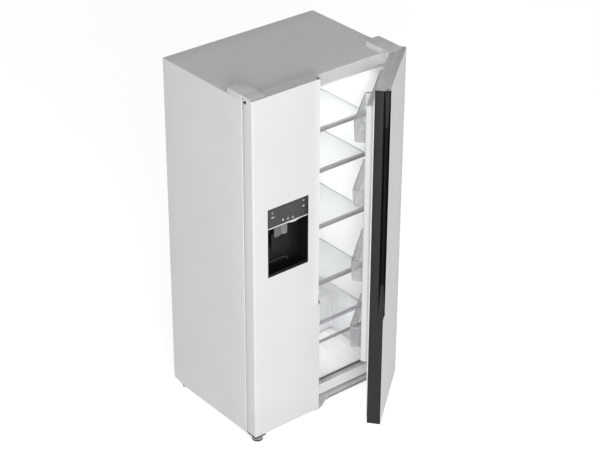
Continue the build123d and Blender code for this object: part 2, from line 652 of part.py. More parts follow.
f0 = z_door_low + cap_t + 0.5
f1 = z_door_top - cap_t - 0.5
with BuildPart() as fridge_door_foam:
    inner_plan(1, x_split_r + grip_d + 3.5, f0, f1, 0.3, y_door_in - liner - 0.3)
    block(x_split_r + 3.4, x_split_r + grip_d + 2.9, grip_in + 3.3, y_door_in - liner - 0.3, f0, f1)
    block(x_split_r + 3.4, x_split_r + grip_d + 2.9, y_front + sheet + 0.3, grip_in + 2.7, f0, lip_z - 3)
    # filling of the bead
    yb0, yb1 = y_door_in - 1.7, y_bead - liner - 0.3
    block(bx0 + 2.4, bx0 + bw - 2.4, yb0, yb1, bz0 + 2.4, bz1 - 2.4)
    block(bx1 - bw + 2.4, bx1 - 2.4, yb0, yb1, bz0 + 2.4, bz1 - 2.4)
    block(bx0 + bw - 1.8, bx1 - bw + 1.8, yb0, yb1, bz0 + 2.4, bz0 + bw - 2.4)
    block(bx0 + bw - 1.8, bx1 - bw + 1.8, yb0, yb1, bz1 - bw + 2.4, bz1 - 2.4)
fridge_door_foam.part = fridge_door_foam.part.rotate(hinge_line, open_deg)
fridge_door_foam.part.label = "fridge_door_foam"
export_step(fridge_door_foam.part, "parts/fridge_door_foam.step")

with BuildPart() as fridge_door_liner:
    block(x_split_r + 3.2, hx - sheet - 0.3, y_door_in - liner, y_door_in, f0, f1)
    dyke_ring(1, bx0, bx1, bz0, bz1, bw, 0, 0.0, y_door_in - 1, y_bead, Mode.ADD)
    dyke_ring(1, bx0, bx1, bz0, bz1, bw, 0, liner, y_door_in - liner - 1, y_bead - liner, Mode.SUBTRACT)
fridge_door_liner.part = fridge_door_liner.part.rotate(hinge_line, open_deg)
fridge_door_liner.part.label = "fridge_door_liner"
export_step(fridge_door_liner.part, "parts/fridge_door_liner.step")

with BuildPart() as fridge_door_gasket:
    gasket_ring(-46, 418, 68, 1753)
fridge_door_gasket.part = fridge_door_gasket.part.rotate(hinge_line, open_deg)
fridge_door_gasket.part.label = "fridge_door_gasket"
export_step(fridge_door_gasket.part, "parts/fridge_door_gasket.step")

with BuildPart() as fridge_door_bins:
    bins(bx0 + bw + 2, bx1 - bw - 2, fridge_bins)
fridge_door_bins.part = fridge_door_bins.part.rotate(hinge_line, open_deg)
fridge_door_bins.part.label = "fridge_door_bins"
export_step(fridge_door_bins.part, "parts/fridge_door_bins.step")

# freezer door
cx0, cx1, cz0 = -370.0, -112.0, 130.0       # bead
ux0, ux1, uz0, uz1 = -384.0, -98.0, 846.0, 1294.0   # swelling behind the dispenser
y_swell = -222.0

with BuildPart() as freezer_door_skin:
    skin_plan(-1, x_split_l)
    block(dx0, dx1, y_front - 1, y_front + sheet + 0.1, dz0, dz1, mode=Mode.SUBTRACT)
freezer_door_skin.part.label = "freezer_door_skin"
export_step(freezer_door_skin.part, "parts/freezer_door_skin.step")

with BuildPart() as freezer_door_caps:
    door_caps(-1, x_split_l)
freezer_door_caps.part.label = "freezer_door_caps"
export_step(freezer_door_caps.part, "parts/freezer_door_caps.step")

with BuildPart() as freezer_door_handle:
    handle_trim(-1, x_split_l)
freezer_door_handle.part.label = "freezer_door_handle"
export_step(freezer_door_handle.part, "parts/freezer_door_handle.step")

x_in = x_split_l - grip_d - 3.5
y_fm = y_door_in - liner - 0.3
with BuildPart() as freezer_door_foam:
    inner_plan(-1, x_in, f0, dz0 - 1, 0.3, y_fm)
    inner_plan(-1, x_in, uz1, f1, 0.3, y_fm)
    inner_plan(-1, dx0 - 0.5, dz0 - 0.3, uz1 - 0.5, 0.3, y_fm)
    block(dx1 + 0.5, x_in, y_front + sheet + 0.3, y_fm, dz0 - 0.3, uz1 - 0.5)
    # behind the dispenser
    block(ux0 + 2.4, ux1 - 2.4, y_disp + 4, y_swell - liner - 0.3, uz0 + 2.4, dz1 - 1)
    block(x_split_l - grip_d - 2.9, x_split_l - 3.4, grip_in + 3.3, y_fm, f0, f1)
    block(x_split_l - grip_d - 2.9, x_split_l - 3.4, y_front + sheet + 0.3, grip_in + 2.7, f0, lip_z - 3)
    for z_a, z_b in ((cz0 + 2.4, uz0 - 2.4), (uz1 + 2.4, bz1 - 2.4)):
        block(cx0 + 2.4, cx0 + bw - 2.4, yb0, yb1, z_a, z_b)
        block(cx1 - bw + 2.4, cx1 - 2.4, yb0, yb1, z_a, z_b)
    block(cx0 + bw - 1.8, cx1 - bw + 1.8, yb0, yb1, cz0 + 2.4, cz0 + bw - 2.4)
    block(cx0 + bw - 1.8, cx1 - bw + 1.8, yb0, yb1, bz1 - bw + 2.4, bz1 - 2.4)
freezer_door_foam.part.label = "freezer_door_foam"
export_step(freezer_door_foam.part, "parts/freezer_door_foam.step")

with BuildPart() as freezer_door_liner:
    block(-hx + sheet + 0.3, x_split_l - 3.2, y_door_in - liner, y_door_in, f0, f1)
    dyke_ring(-1, cx0, cx1, cz0, bz1, bw, 0, 0.0, y_door_in - 1, y_bead, Mode.ADD)
    dyke_ring(-1, cx0, cx1, cz0, bz1, bw, 0, liner, y_door_in - liner - 1, y_bead - liner, Mode.SUBTRACT)
    block(ux0, ux1, y_door_in - 1, y_swell, uz0, uz1)
    block(ux0 + liner, ux1 - liner, y_door_in - liner - 1, y_swell - liner, uz0 + liner, uz1 - liner, mode=Mode.SUBTRACT)
    # way in for the ice
    block(-319.5, -240.5, y_swell - 4, y_swell + 1, 1244, 1288, mode=Mode.SUBTRACT)
freezer_door_liner.part.label = "freezer_door_liner"
export_step(freezer_door_liner.part, "parts/freezer_door_liner.step")

with BuildPart() as freezer_door_gasket:
    gasket_ring(-418, -60, 68, 1753)
freezer_door_gasket.part.label = "freezer_door_gasket"
export_step(freezer_door_gasket.part, "parts/freezer_door_gasket.step")

with BuildPart() as freezer_door_bins:
    bins(cx0 + bw + 2, cx1 - bw - 2, freezer_bins)
freezer_door_bins.part.label = "freezer_door_bins"
export_step(freezer_door_bins.part, "parts/freezer_door_bins.step")

# ------------------------------------------------------------------ dispenser
with BuildPart() as dispenser_housing:
    block(dx0 + 0.3, dx1 - 0.3, y_front + 0.2, y_disp + 3, dz0 + 0.3, dz1 - 0.3)
    block(dx0 + 4, dx1 - 4, y_front - 1, y_disp, dz0 + 4, dzt - 3, mode=Mode.SUBTRACT)
    block(dx0 + 4, dx1 - 4, y_front - 1, y_disp - 2, dzt + 3, dz1 - 4, mode=Mode.SUBTRACT)
    block(-319.5, -240.5, -320.5, -279.5, dzt - 5, dz1 + 1, mode=Mode.SUBTRACT)
    # cheeks that carry the lever shaft
    for x in (-309.0, -249.0):
        block(x - 3, x + 3, lever_y - 8, y_disp + 1, lever_z - 8, lever_z + 8)
    rod_x(lever_y, lever_z, -313, -245, 3 + pin_clear, mode=Mode.SUBTRACT)
dispenser_housing.part.label = "dispenser_housing"
export_step(dispenser_housing.part, "parts/dispenser_housing.step")

with BuildPart() as dispenser_panel:
    block(dx0 + 4.2, dx1 - 4.2, y_front + 0.2, y_front + 4, dzt + 3.2, dz1 - 4.2)
dispenser_panel.part.label = "dispenser_panel"
export_step(dispenser_panel.part, "parts/dispenser_panel.step")

with BuildPart() as ice_chute:
    block(-319, -241, -320, -280, 1083, 1286)
    block(-319, -241, -281, y_swell - 0.5, 1244.5, 1286)
    block(-316.5, -243.5, -317.5, -282.5, 1080, 1283.5, mode=Mode.SUBTRACT)
    block(-316.5, -243.5, -284, y_swell + 1, 1247, 1283.5, mode=Mode.SUBTRACT)
ice_chute.part.label = "ice_chute"
export_step(ice_chute.part, "parts/ice_chute.step")

with BuildPart() as chute_flap:
    block(-314, -246, -315, flap_y, flap_z - 1, flap_z + 1)
    rod_x(flap_y, flap_z, -315.5, -244.5, 2.2)
chute_flap.part.label = "chute_flap"
export_step(chute_flap.part, "parts/chute_flap.step")

with BuildPart() as dispenser_lever:
    rod_x(lever_y, lever_z, -312, -246, 3)
    block(-303, -255, lever_y - 3, lever_y + 3, lever_z - 20, lever_z + 1)
    block(-303, -255, lever_y - 14, lever_y - 10, 985, lever_z - 16)
    block(-303, -255, lever_y - 14, lever_y + 3, lever_z - 20, lever_z - 16)
dispenser_lever.part.label = "dispenser_lever"
export_step(dispenser_lever.part, "parts/dispenser_lever.step")

with BuildPart() as drip_grille:
    block(dx0 + 6, dx1 - 6, y_front + 3, y_disp - 2, dz0 + 4.2, dz0 + 12)
    for i in range(15):
        x = dx0 + 24 + 13.4 * i
        block(x - 3, x + 3, y_front + 12, y_disp - 10, dz0 + 7, dz0 + 13, mode=Mode.SUBTRACT)
drip_grille.part.label = "drip_grille"
export_step(drip_grille.part, "parts/drip_grille.step")
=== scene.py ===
import json
from math import cos, sin, pi, radians, sqrt, atan2, exp

import bmesh
import bpy
from mathutils import Matrix, Vector

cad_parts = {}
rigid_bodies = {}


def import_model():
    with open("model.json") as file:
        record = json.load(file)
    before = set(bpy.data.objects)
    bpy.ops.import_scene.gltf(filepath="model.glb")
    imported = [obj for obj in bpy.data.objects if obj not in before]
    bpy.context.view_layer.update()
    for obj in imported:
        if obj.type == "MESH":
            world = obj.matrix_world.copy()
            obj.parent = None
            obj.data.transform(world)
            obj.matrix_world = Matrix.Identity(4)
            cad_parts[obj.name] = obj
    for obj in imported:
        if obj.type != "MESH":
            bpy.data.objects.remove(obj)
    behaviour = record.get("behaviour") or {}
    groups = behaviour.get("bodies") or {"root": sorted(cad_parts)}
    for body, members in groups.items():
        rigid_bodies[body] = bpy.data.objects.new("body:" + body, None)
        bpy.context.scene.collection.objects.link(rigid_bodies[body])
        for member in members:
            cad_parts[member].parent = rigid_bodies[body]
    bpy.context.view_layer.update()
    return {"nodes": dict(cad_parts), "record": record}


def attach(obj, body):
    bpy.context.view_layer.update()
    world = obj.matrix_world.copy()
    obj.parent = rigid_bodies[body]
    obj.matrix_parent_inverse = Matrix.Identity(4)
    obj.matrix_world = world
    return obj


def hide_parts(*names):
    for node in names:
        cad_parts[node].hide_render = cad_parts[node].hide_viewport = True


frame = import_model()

NODES = frame["nodes"]
scene = bpy.context.scene

# ---------------------------------------------------------------- dimensions (mm, as in the construction)
HX, Y_F, Y_R = 442.5, -330.0, 330.0
Z_TOP, Z_LOW = 1779.0, 25.0
ZD0, ZD1 = 33.0, 1800.0
Y_IN, Y_CAB = -264.0, -257.0
XL, XR = -52.0, -47.0
OPEN = 39.4
LIP_Z, LIP_BACK, LIP_FROM, LIP_OUT = 646.0, 12.5, 45.0, 5.5
SHELF_Z = (1425.0, 1210.0, 909.0, 593.0)
DX0, DX1, DZ0, DZ1, DZT = -360.5, -124.5, 889.0, 1241.5, 1143.0
TURN = Matrix.Translation((0.428, -0.283, 0)) @ Matrix.Rotation(radians(OPEN), 4, "Z") @ Matrix.Translation((-0.428, 0.283, 0))


# ---------------------------------------------------------------- materials
def node(nt, kind, **kw):
    n = nt.nodes.new("ShaderNode" + kind)
    for k, v in kw.items():
        if hasattr(n, k):
            setattr(n, k, v)
        else:
            n.inputs[k].default_value = v
    return n


def start(name):
    m = bpy.data.materials.new(name)
    m.use_nodes = True
    nt = m.node_tree
    nt.nodes.clear()
    out = node(nt, "OutputMaterial")
    return m, nt, out


def two_tone(nt, vec, scale, c0, c1, lo=0.35, hi=0.65, detail=3.0):
    n = node(nt, "TexNoise", Scale=scale, Detail=detail)
    nt.links.new(vec, n.inputs["Vector"])
    r = node(nt, "ValToRGB")
    r.color_ramp.elements[0].position = lo
    r.color_ramp.elements[1].position = hi
    r.color_ramp.elements[0].color = (*c0, 1)
    r.color_ramp.elements[1].color = (*c1, 1)
    nt.links.new(n.outputs[0], r.inputs[0])
    return r.outputs[0]


def spread(nt, vec, scale, lo, hi, detail=4.0):
    n = node(nt, "TexNoise", Scale=scale, Detail=detail)
    nt.links.new(vec, n.inputs["Vector"])
    r = node(nt, "MapRange")
    r.inputs["From Min"].default_value = 0.3
    r.inputs["From Max"].default_value = 0.7
    r.inputs["To Min"].default_value = lo
    r.inputs["To Max"].default_value = hi
    nt.links.new(n.outputs[0], r.inputs[0])
    return r.outputs[0]


def surface(name, col, rough, var=0.015, scale=5.0, rvar=0.05, bump=0.1, bscale=420.0, bdist=0.0002, metal=0.0,
            spec=0.5, coat=0.0, coat_rough=0.08, grain="noise", stretch=None, emit=0.0, emit_col=None):
    """Painted, moulded or bare surface: slow colour drift, uneven gloss and a fine relief."""
    m, nt, out = start(name)
    b = node(nt, "BsdfPrincipled")
    nt.links.new(b.outputs[0], out.inputs[0])
    tc = node(nt, "TexCoord")
    vec = tc.outputs["Object"]
    if stretch:
        mp = node(nt, "Mapping")
        mp.inputs["Scale"].default_value = stretch
        nt.links.new(vec, mp.inputs["Vector"])
        vec = mp.outputs[0]
    lo = tuple(max(0.0, c * (1 - var)) for c in col)
    hi = tuple(min(1.0, c * (1 + var)) for c in col)
    nt.links.new(two_tone(nt, vec, scale, lo, hi), b.inputs["Base Color"])
    nt.links.new(spread(nt, vec, scale * 7.0, max(0.02, rough - rvar), min(1.0, rough + rvar)), b.inputs["Roughness"])
    if grain == "cells":
        t = node(nt, "TexVoronoi", Scale=bscale)
    elif grain == "wave":
        t = node(nt, "TexWave", Scale=bscale, Distortion=1.5)
    else:
        t = node(nt, "TexNoise", Scale=bscale, Detail=2.0)
    nt.links.new(vec, t.inputs["Vector"])
    bp = node(nt, "Bump")
    bp.inputs["Strength"].default_value = bump
    bp.inputs["Distance"].default_value = bdist
    nt.links.new(t.outputs[0], bp.inputs["Height"])
    nt.links.new(bp.outputs[0], b.inputs["Normal"])
    b.inputs["Metallic"].default_value = metal
    b.inputs["Specular IOR Level"].default_value = spec
    b.inputs["Coat Weight"].default_value = coat
    b.inputs["Coat Roughness"].default_value = coat_rough
    if emit:
        b.inputs["Emission Color"].default_value = (*(emit_col or col), 1)
        b.inputs["Emission Strength"].default_value = emit
    return m


def spangle(name, dark, light, rough):
    """Galvanised sheet: crystals of slightly different grey."""
    m, nt, out = start(name)
    b = node(nt, "BsdfPrincipled")
    nt.links.new(b.outputs[0], out.inputs[0])
    tc = node(nt, "TexCoord")
    v = node(nt, "TexVoronoi", Scale=90.0)
    nt.links.new(tc.outputs["Object"], v.inputs["Vector"])
    r = node(nt, "ValToRGB")
    r.color_ramp.elements[0].color = (*dark, 1)
    r.color_ramp.elements[1].color = (*light, 1)
    nt.links.new(v.outputs["Color"], r.inputs[0])
    nt.links.new(r.outputs[0], b.inputs["Base Color"])
    nt.links.new(spread(nt, tc.outputs["Object"], 30.0, rough - 0.08, rough + 0.1), b.inputs["Roughness"])
    t = node(nt, "TexNoise", Scale=160.0, Detail=3.0)
    nt.links.new(tc.outputs["Object"], t.inputs["Vector"])
    bp = node(nt, "Bump")
    bp.inputs["Strength"].default_value = 0.15
    bp.inputs["Distance"].default_value = 0.0003
    nt.links.new(t.outputs[0], bp.inputs["Height"])
    nt.links.new(bp.outputs[0], b.inputs["Normal"])
    b.inputs["Metallic"].default_value = 0.55
    return m


def clear(name, through, tint, rough, edge, base):
    """Clear plastic or glass: mostly see-through, with gloss that grows towards grazing views."""
    m, nt, out = start(name)
    mix = node(nt, "MixShader")
    tr = node(nt, "BsdfTransparent")
    tr.inputs["Color"].default_value = (*through, 1)
    b = node(nt, "BsdfPrincipled")
    tc = node(nt, "TexCoord")
    nt.links.new(two_tone(nt, tc.outputs["Object"], 9.0, tuple(c * 0.94 for c in tint), tint), b.inputs["Base Color"])
    nt.links.new(spread(nt, tc.outputs["Object"], 60.0, rough * 0.6, rough * 1.6), b.inputs["Roughness"])
    t = node(nt, "TexNoise", Scale=14.0, Detail=2.0)
    nt.links.new(tc.outputs["Object"], t.inputs["Vector"])
    bp = node(nt, "Bump")
    bp.inputs["Strength"].default_value = 0.12
    bp.inputs["Distance"].default_value = 0.001
    nt.links.new(t.outputs[0], bp.inputs["Height"])
    nt.links.new(bp.outputs[0], b.inputs["Normal"])
    lw = node(nt, "LayerWeight")
    lw.inputs["Blend"].default_value = edge
    r = node(nt, "MapRange")
    r.inputs["To Min"].default_value = base
    r.inputs["To Max"].default_value = 0.85
    nt.links.new(lw.outputs["Facing"], r.inputs[0])
    nt.links.new(r.outputs[0], mix.inputs[0])
    nt.links.new(tr.outputs[0], mix.inputs[1])
    nt.links.new(b.outputs[0], mix.inputs[2])
    nt.links.new(mix.outputs[0], out.inputs[0])
    return m


MAT = {
    "white_steel": surface("white_steel", (0.83, 0.832, 0.834), 0.46, var=0.012, scale=3.0, rvar=0.05, bump=0.10, bscale=520.0, bdist=0.00012),
    "bare_steel": spangle("bare_steel", (0.50, 0.51, 0.52), (0.62, 0.63, 0.64), 0.42),
    "dark_steel": surface("dark_steel", (0.085, 0.086, 0.09), 0.42, var=0.10, scale=30.0, bump=0.25, bscale=700.0),
    "white_liner": surface("white_liner", (0.88, 0.884, 0.886), 0.34, var=0.008, scale=3.0, rvar=0.02, bump=0.03, bscale=260.0, bdist=0.0002),
    "light_cap": surface("light_cap", (0.74, 0.745, 0.75), 0.50, var=0.02, scale=14.0, bump=0.25, bscale=1500.0, bdist=0.0002),
    "black_trim": surface("black_trim", (0.015, 0.015, 0.016), 0.44, var=0.12, scale=20.0, rvar=0.08, bump=0.22, bscale=1700.0, bdist=0.0002, spec=0.28),
    "grey_kick": surface("grey_kick", (0.58, 0.585, 0.59), 0.48, var=0.04, scale=16.0, bump=0.3, bscale=1300.0, bdist=0.0002),
    "foam": surface("foam", (0.82, 0.76, 0.56), 0.85, var=0.06, scale=40.0, bump=0.7, bscale=300.0, bdist=0.001, grain="cells"),
    "seal": surface("seal", (0.84, 0.843, 0.846), 0.55, var=0.03, scale=18.0, bump=0.3, bscale=900.0, bdist=0.0002),
    "clear_plastic": clear("clear_plastic", (0.985, 0.988, 0.990), (0.86, 0.87, 0.88), 0.09, 0.26, 0.04),
    "shelf_glass": clear("shelf_glass", (0.99, 0.995, 0.994), (0.93, 0.95, 0.95), 0.05, 0.16, 0.03),
    "grey_trim": surface("grey_trim", (0.36, 0.365, 0.37), 0.34, var=0.03, scale=16.0, bump=0.15, bscale=1400.0, stretch=(0.2, 1.0, 1.0)),
    "panel_dark": surface("panel_dark", (0.0225, 0.0235, 0.025), 0.18, var=0.08, scale=8.0, rvar=0.04, bump=0.04, bscale=300.0, coat=0.25),
    "cavity_black": surface("cavity_black", (0.0099, 0.0099, 0.0105), 0.40, var=0.15, scale=20.0, rvar=0.08, bump=0.3, bscale=1500.0, bdist=0.0002, spec=0.2),
    "chute_grey": surface("chute_grey", (0.30, 0.305, 0.31), 0.30, var=0.06, scale=25.0, bump=0.15, bscale=1200.0),
    "alloy": surface("alloy", (0.74, 0.75, 0.76), 0.34, var=0.06, scale=40.0, rvar=0.1, bump=0.2, bscale=500.0, metal=0.9, stretch=(0.1, 1.0, 1.0)),
    "black_enamel": surface("black_enamel", (0.022, 0.022, 0.024), 0.30, var=0.2, scale=22.0, bump=0.2, bscale=260.0),
    "fan_plastic": surface("fan_plastic", (0.07, 0.07, 0.073), 0.45, var=0.1, scale=20.0, bump=0.25, bscale=1300.0),
    "lamp_lens": surface("lamp_lens", (0.93, 0.935, 0.94), 0.40, var=0.01, scale=30.0, bump=0.5, bscale=260.0, bdist=0.0006, grain="wave", emit=0.9, emit_col=(1.0, 0.99, 0.97)),
    "zinc": surface("zinc", (0.60, 0.61, 0.63), 0.30, var=0.08, scale=60.0, bump=0.2, bscale=900.0, metal=0.9),
    "ice_plastic": surface("ice_plastic", (0.74, 0.77, 0.80), 0.38, var=0.02, scale=12.0, bump=0.2, bscale=900.0),
    "valve_plastic": surface("valve_plastic", (0.66, 0.67, 0.64), 0.42, var=0.03, scale=20.0, bump=0.25, bscale=1200.0),
}
MAT["silver_trim"] = surface("silver_trim", (0.72, 0.725, 0.73), 0.22, var=0.03, scale=20.0, rvar=0.05, bump=0.1, bscale=800.0, metal=0.7, stretch=(0.1, 1.0, 1.0))
MAT["icon_light"] = surface("icon_light", (0.78, 0.79, 0.80), 0.45, var=0.03, scale=90.0, bump=0.1, bscale=900.0)
MAT["glass_edge"] = surface("glass_edge", (0.36, 0.46, 0.44), 0.16, var=0.08, scale=30.0, bump=0.06, bscale=300.0)
MAT["door_liner"] = surface("door_liner", (0.735, 0.738, 0.742), 0.36, var=0.008, scale=3.0, rvar=0.02, bump=0.03, bscale=260.0, bdist=0.0002)
# darker copy of white_steel for the flange over the openings: painted shade
MAT["face_flange_painted_shade"] = surface("face_flange_painted_shade", (0.69, 0.693, 0.697), 0.42, var=0.02, scale=6.0, rvar=0.03, bump=0.1, bscale=900.0, bdist=0.0002, stretch=(0.06, 1.0, 1.0))
# dark and light copies of the shield grey, left and right of its fold: painted shade and painted light
MAT["shield_painted_shade"] = surface("shield_painted_shade", (0.135, 0.136, 0.138), 0.22, var=0.10, scale=30.0, rvar=0.05, bump=0.12, bscale=700.0)
MAT["shield_painted_light"] = surface("shield_painted_light", (0.205, 0.207, 0.21), 0.24, var=0.08, scale=30.0, rvar=0.05, bump=0.12, bscale=700.0)
MAT["cap_pale"] = surface("cap_pale", (0.785, 0.79, 0.795), 0.60, var=0.02, scale=14.0, bump=0.22, bscale=1500.0, bdist=0.0002, spec=0.2)
MAT["hinge_black"] = surface("hinge_black", (0.026, 0.026, 0.028), 0.48, var=0.12, scale=30.0, bump=0.25, bscale=700.0, spec=0.25)
MAT["tray_rim"] = surface("tray_rim", (0.11, 0.112, 0.114), 0.34, var=0.06, scale=25.0, bump=0.15, bscale=1200.0, spec=0.3)
# lighter grey for the tubes along the shield's edges: painted highlight
MAT["shield_rim_painted_highlight"] = surface("shield_rim_painted_highlight", (0.36, 0.363, 0.366), 0.26, var=0.06, scale=30.0, bump=0.1, bscale=900.0)
# darker copy of the kick grey for the upper band of the face: painted half shade
MAT["kick_painted_half_shade"] = surface("kick_painted_half_shade", (0.47, 0.475, 0.48), 0.5, var=0.04, scale=16.0, bump=0.3, bscale=1300.0, bdist=0.0002)
# near-black for the rail on the drawer's lower front: painted shadow of the gap under the drawer
MAT["painted_shadow_rail"] = surface("painted_shadow_rail", (0.085, 0.087, 0.09), 0.5, var=0.06, scale=16.0, bump=0.3, bscale=1300.0, bdist=0.0002)
# dark grey for the strips on the liner floor under the drawer front: painted shade
MAT["rest_strip_painted_shade"] = surface("rest_strip_painted_shade", (0.15, 0.152, 0.154), 0.6, var=0.05, scale=16.0, bump=0.3, bscale=1100.0, bdist=0.0002)
# still darker copy of the kick grey for the lower lip and the seam strip: painted shade
MAT["kick_painted_shade"] = surface("kick_painted_shade", (0.35, 0.354, 0.36), 0.5, var=0.04, scale=16.0, bump=0.3, bscale=1300.0, bdist=0.0002)
MAT["drawer_mat"] = surface("drawer_mat", (0.84, 0.845, 0.835), 0.5, var=0.02, scale=20.0, bump=0.25, bscale=700.0, bdist=0.0003)
# near-black for recesses, holes and the sole of the feet: painted shade where light does not reach
MAT["black_painted_shade"] = surface("black_painted_shade", (0.0045, 0.0045, 0.005), 0.55, var=0.2, scale=18.0, rvar=0.06, bump=0.2, bscale=1500.0, bdist=0.0002, spec=0.12)
MAT["bin_rim"] = surface("bin_rim", (0.46, 0.475, 0.485), 0.22, var=0.05, scale=18.0, bump=0.1, bscale=600.0)
MAT["side_steel"] = MAT["white_steel"]


# ---------------------------------------------------------------- mesh helpers (all in mm)
def rr(x0, x1, y0, y1, r, n=6):
    """Rounded rectangle, counter-clockwise; r is one radius or four (low-low, high-low, high-high, low-high)."""
    rs = r if isinstance(r, (tuple, list)) else (r,) * 4
    pts = []
    for (cx, sx, cy, sy, q), a0 in zip(((x0, 1, y0, 1, rs[0]), (x1, -1, y0, 1, rs[1]), (x1, -1, y1, -1, rs[2]), (x0, 1, y1, -1, rs[3])), (180, 270, 0, 90)):
        for i in range(n + 1):
            a = radians(a0 + 90.0 * i / n)
            pts.append((cx + sx * q + q * cos(a), cy + sy * q + q * sin(a)))
    return pts


def put(pts, axis, c):
    """2-D points in the plane across an axis: x -> (y, z), y -> (x, z), z -> (x, y)."""
    if axis == "x":
        return [(c, a, b) for a, b in pts]
    if axis == "y":
        return [(a, c, b) for a, b in pts]
    return [(a, b, c) for a, b in pts]


def loft(bm, rings, cap0=True, cap1=True, loop=False):
    vs = [[bm.verts.new(p) for p in r] for r in rings]
    n = len(rings[0])
    pairs = list(zip(vs, vs[1:])) + ([(vs[-1], vs[0])] if loop else [])
    for a, b in pairs:
        for i in range(n):
            j = (i + 1) % n
            bm.faces.new((a[i], a[j], b[j], b[i]))
    if not loop:
        if cap0:
            bm.faces.new(list(reversed(vs[0])))
        if cap1:
            bm.faces.new(vs[-1])
    return vs


def strip(bm, rows):
    """Open sheet from rows of points."""
    vs = [[bm.verts.new(p) for p in r] for r in rows]
    for a, b in zip(vs, vs[1:]):
        for i in range(len(a) - 1):
            bm.faces.new((a[i], a[i + 1], b[i + 1], b[i]))
    return vs


def prism(bm, pts, axis, a0, a1):
    return loft(bm, [put(pts, axis, a0), put(pts, axis, a1)])


def rbox(bm, x0, x1, y0, y1, z0, z1, r=1.0, seg=3):
    """Box with every edge rounded."""
    mat = Matrix.Translation(((x0 + x1) / 2, (y0 + y1) / 2, (z0 + z1) / 2)) @ Matrix.Diagonal((x1 - x0, y1 - y0, z1 - z0, 1))
    vs = bmesh.ops.create_cube(bm, size=1.0, matrix=mat)["verts"]
    es = list({e for v in vs for e in v.link_edges})
    bmesh.ops.bevel(bm, geom=es, offset=r, segments=seg, profile=0.5, affect="EDGES", clamp_overlap=True)


def rslab(bm, pts, axis, a0, a1, r=1.0, seg=3):
    """Slab with a given outline, its two rims rounded."""
    cx = sum(p[0] for p in pts) / len(pts)
    cy = sum(p[1] for p in pts) / len(pts)

    def inset(d):
        out = []
        n = len(pts)
        for i in range(n):
            p, q, s = Vector(pts[i - 1]), Vector(pts[i]), Vector(pts[(i + 1) % n])
            e1, e2 = (q - p), (s - q)
            if e1.length < 1e-9 or e2.length < 1e-9:
                e1 = e2 = (s - p)
            n1 = Vector((-e1.y, e1.x)).normalized()
            n2 = Vector((-e2.y, e2.x)).normalized()
            k = n1 + n2
            k = k / max(0.2, k.length_squared / 2)
            out.append((q.x + k.x * d, q.y + k.y * d))
        return out
    s = 1 if a1 > a0 else -1
    rings = []
    for i in range(seg + 1):
        a = pi / 2 * i / seg
        rings.append(put(inset(r * (1 - sin(a))), axis, a0 + s * r * (1 - cos(a))))
    for i in range(seg + 1):
        a = pi / 2 * i / seg
        rings.append(put(inset(r * (1 - cos(a))), axis, a1 - s * r * (1 - sin(a))))
    loft(bm, rings)


def lathe(bm, prof, c, axis="z", n=40):
    """Turned solid: prof is (radius, height) from end to end along the axis through c."""
    rings = []
    for r, h in prof:
        ring = []
        for i in range(n):
            a = 2 * pi * i / n
            u, v = r * cos(a), r * sin(a)
            if axis == "z":
                ring.append((c[0] + u, c[1] + v, c[2] + h))
            elif axis == "y":
                ring.append((c[0] + u, c[1] + h, c[2] + v))
            else:
                ring.append((c[0] + h, c[1] + u, c[2] + v))
        rings.append(ring)
    loft(bm, rings)


def tube(bm, path, r, n=12):
    rings = []
    for i, p in enumerate(path):
        p = Vector(p)
        d = (Vector(path[min(i + 1, len(path) - 1)]) - Vector(path[max(i - 1, 0)])).normalized()
        u = d.orthogonal().normalized() if i == 0 else (u - d * u.dot(d)).normalized()
        w = d.cross(u)
        rings.append([tuple(p + r * (cos(2 * pi * k / n) * u + sin(2 * pi * k / n) * w)) for k in range(n)])
    loft(bm, rings)


def tub(bm, x0, x1, y0, y1, z0, z1, t=2.5, draft=3.0, r=12.0, low=None, lip=0.0):
    """Open moulded tub: drafted walls, rounded corners and floor, and a rim.  low(x, y) lowers the rim."""
    def ring(d, z, rad):
        return [(x, y, z) for x, y in rr(x0 + d, x1 - d, y0 + d, y1 - d, max(rad, 1.0), 6)]
    h = z1 - z0
    rings = [ring(draft + r * 0.55, z0, r * 0.5)]
    for i in range(1, 5):
        a = pi / 2 * i / 4
        rings.append(ring(draft + r * 0.55 * (1 - sin(a)), z0 + r * 0.55 * (1 - cos(a)), r * (0.5 + 0.5 * sin(a))))
    for f in (0.5, 0.85):
        rings.append(ring(draft * (1 - f) , z0 + h * f, r))
    if lip:
        rings += [ring(0.6, z1 - lip - 1.2, r), ring(0, z1 - lip, r)]
    rings += [ring(0.0, z1 - 0.8, r), ring(0.8, z1, r), ring(t - 0.8, z1, r - t), ring(t, z1 - 0.8, r - t)]
    for f in (0.5,):
        rings.append(ring(t + draft * (1 - f), z0 + h * f, r - t))
    for i in range(4, -1, -1):
        a = pi / 2 * i / 4
        rings.append(ring(t + draft + r * 0.5 * (1 - sin(a)), z0 + t + r * 0.5 * (1 - cos(a)), (r - t) * (0.5 + 0.5 * sin(a))))
    vs = loft(bm, rings)
    if low:
        zc = z0 + h * 0.45
        for ringv in vs:
            for v in ringv:
                if v.co.z > zc:
                    f = low(v.co.x, v.co.y)
                    v.co.z = zc + (v.co.z - zc) * f
    return vs


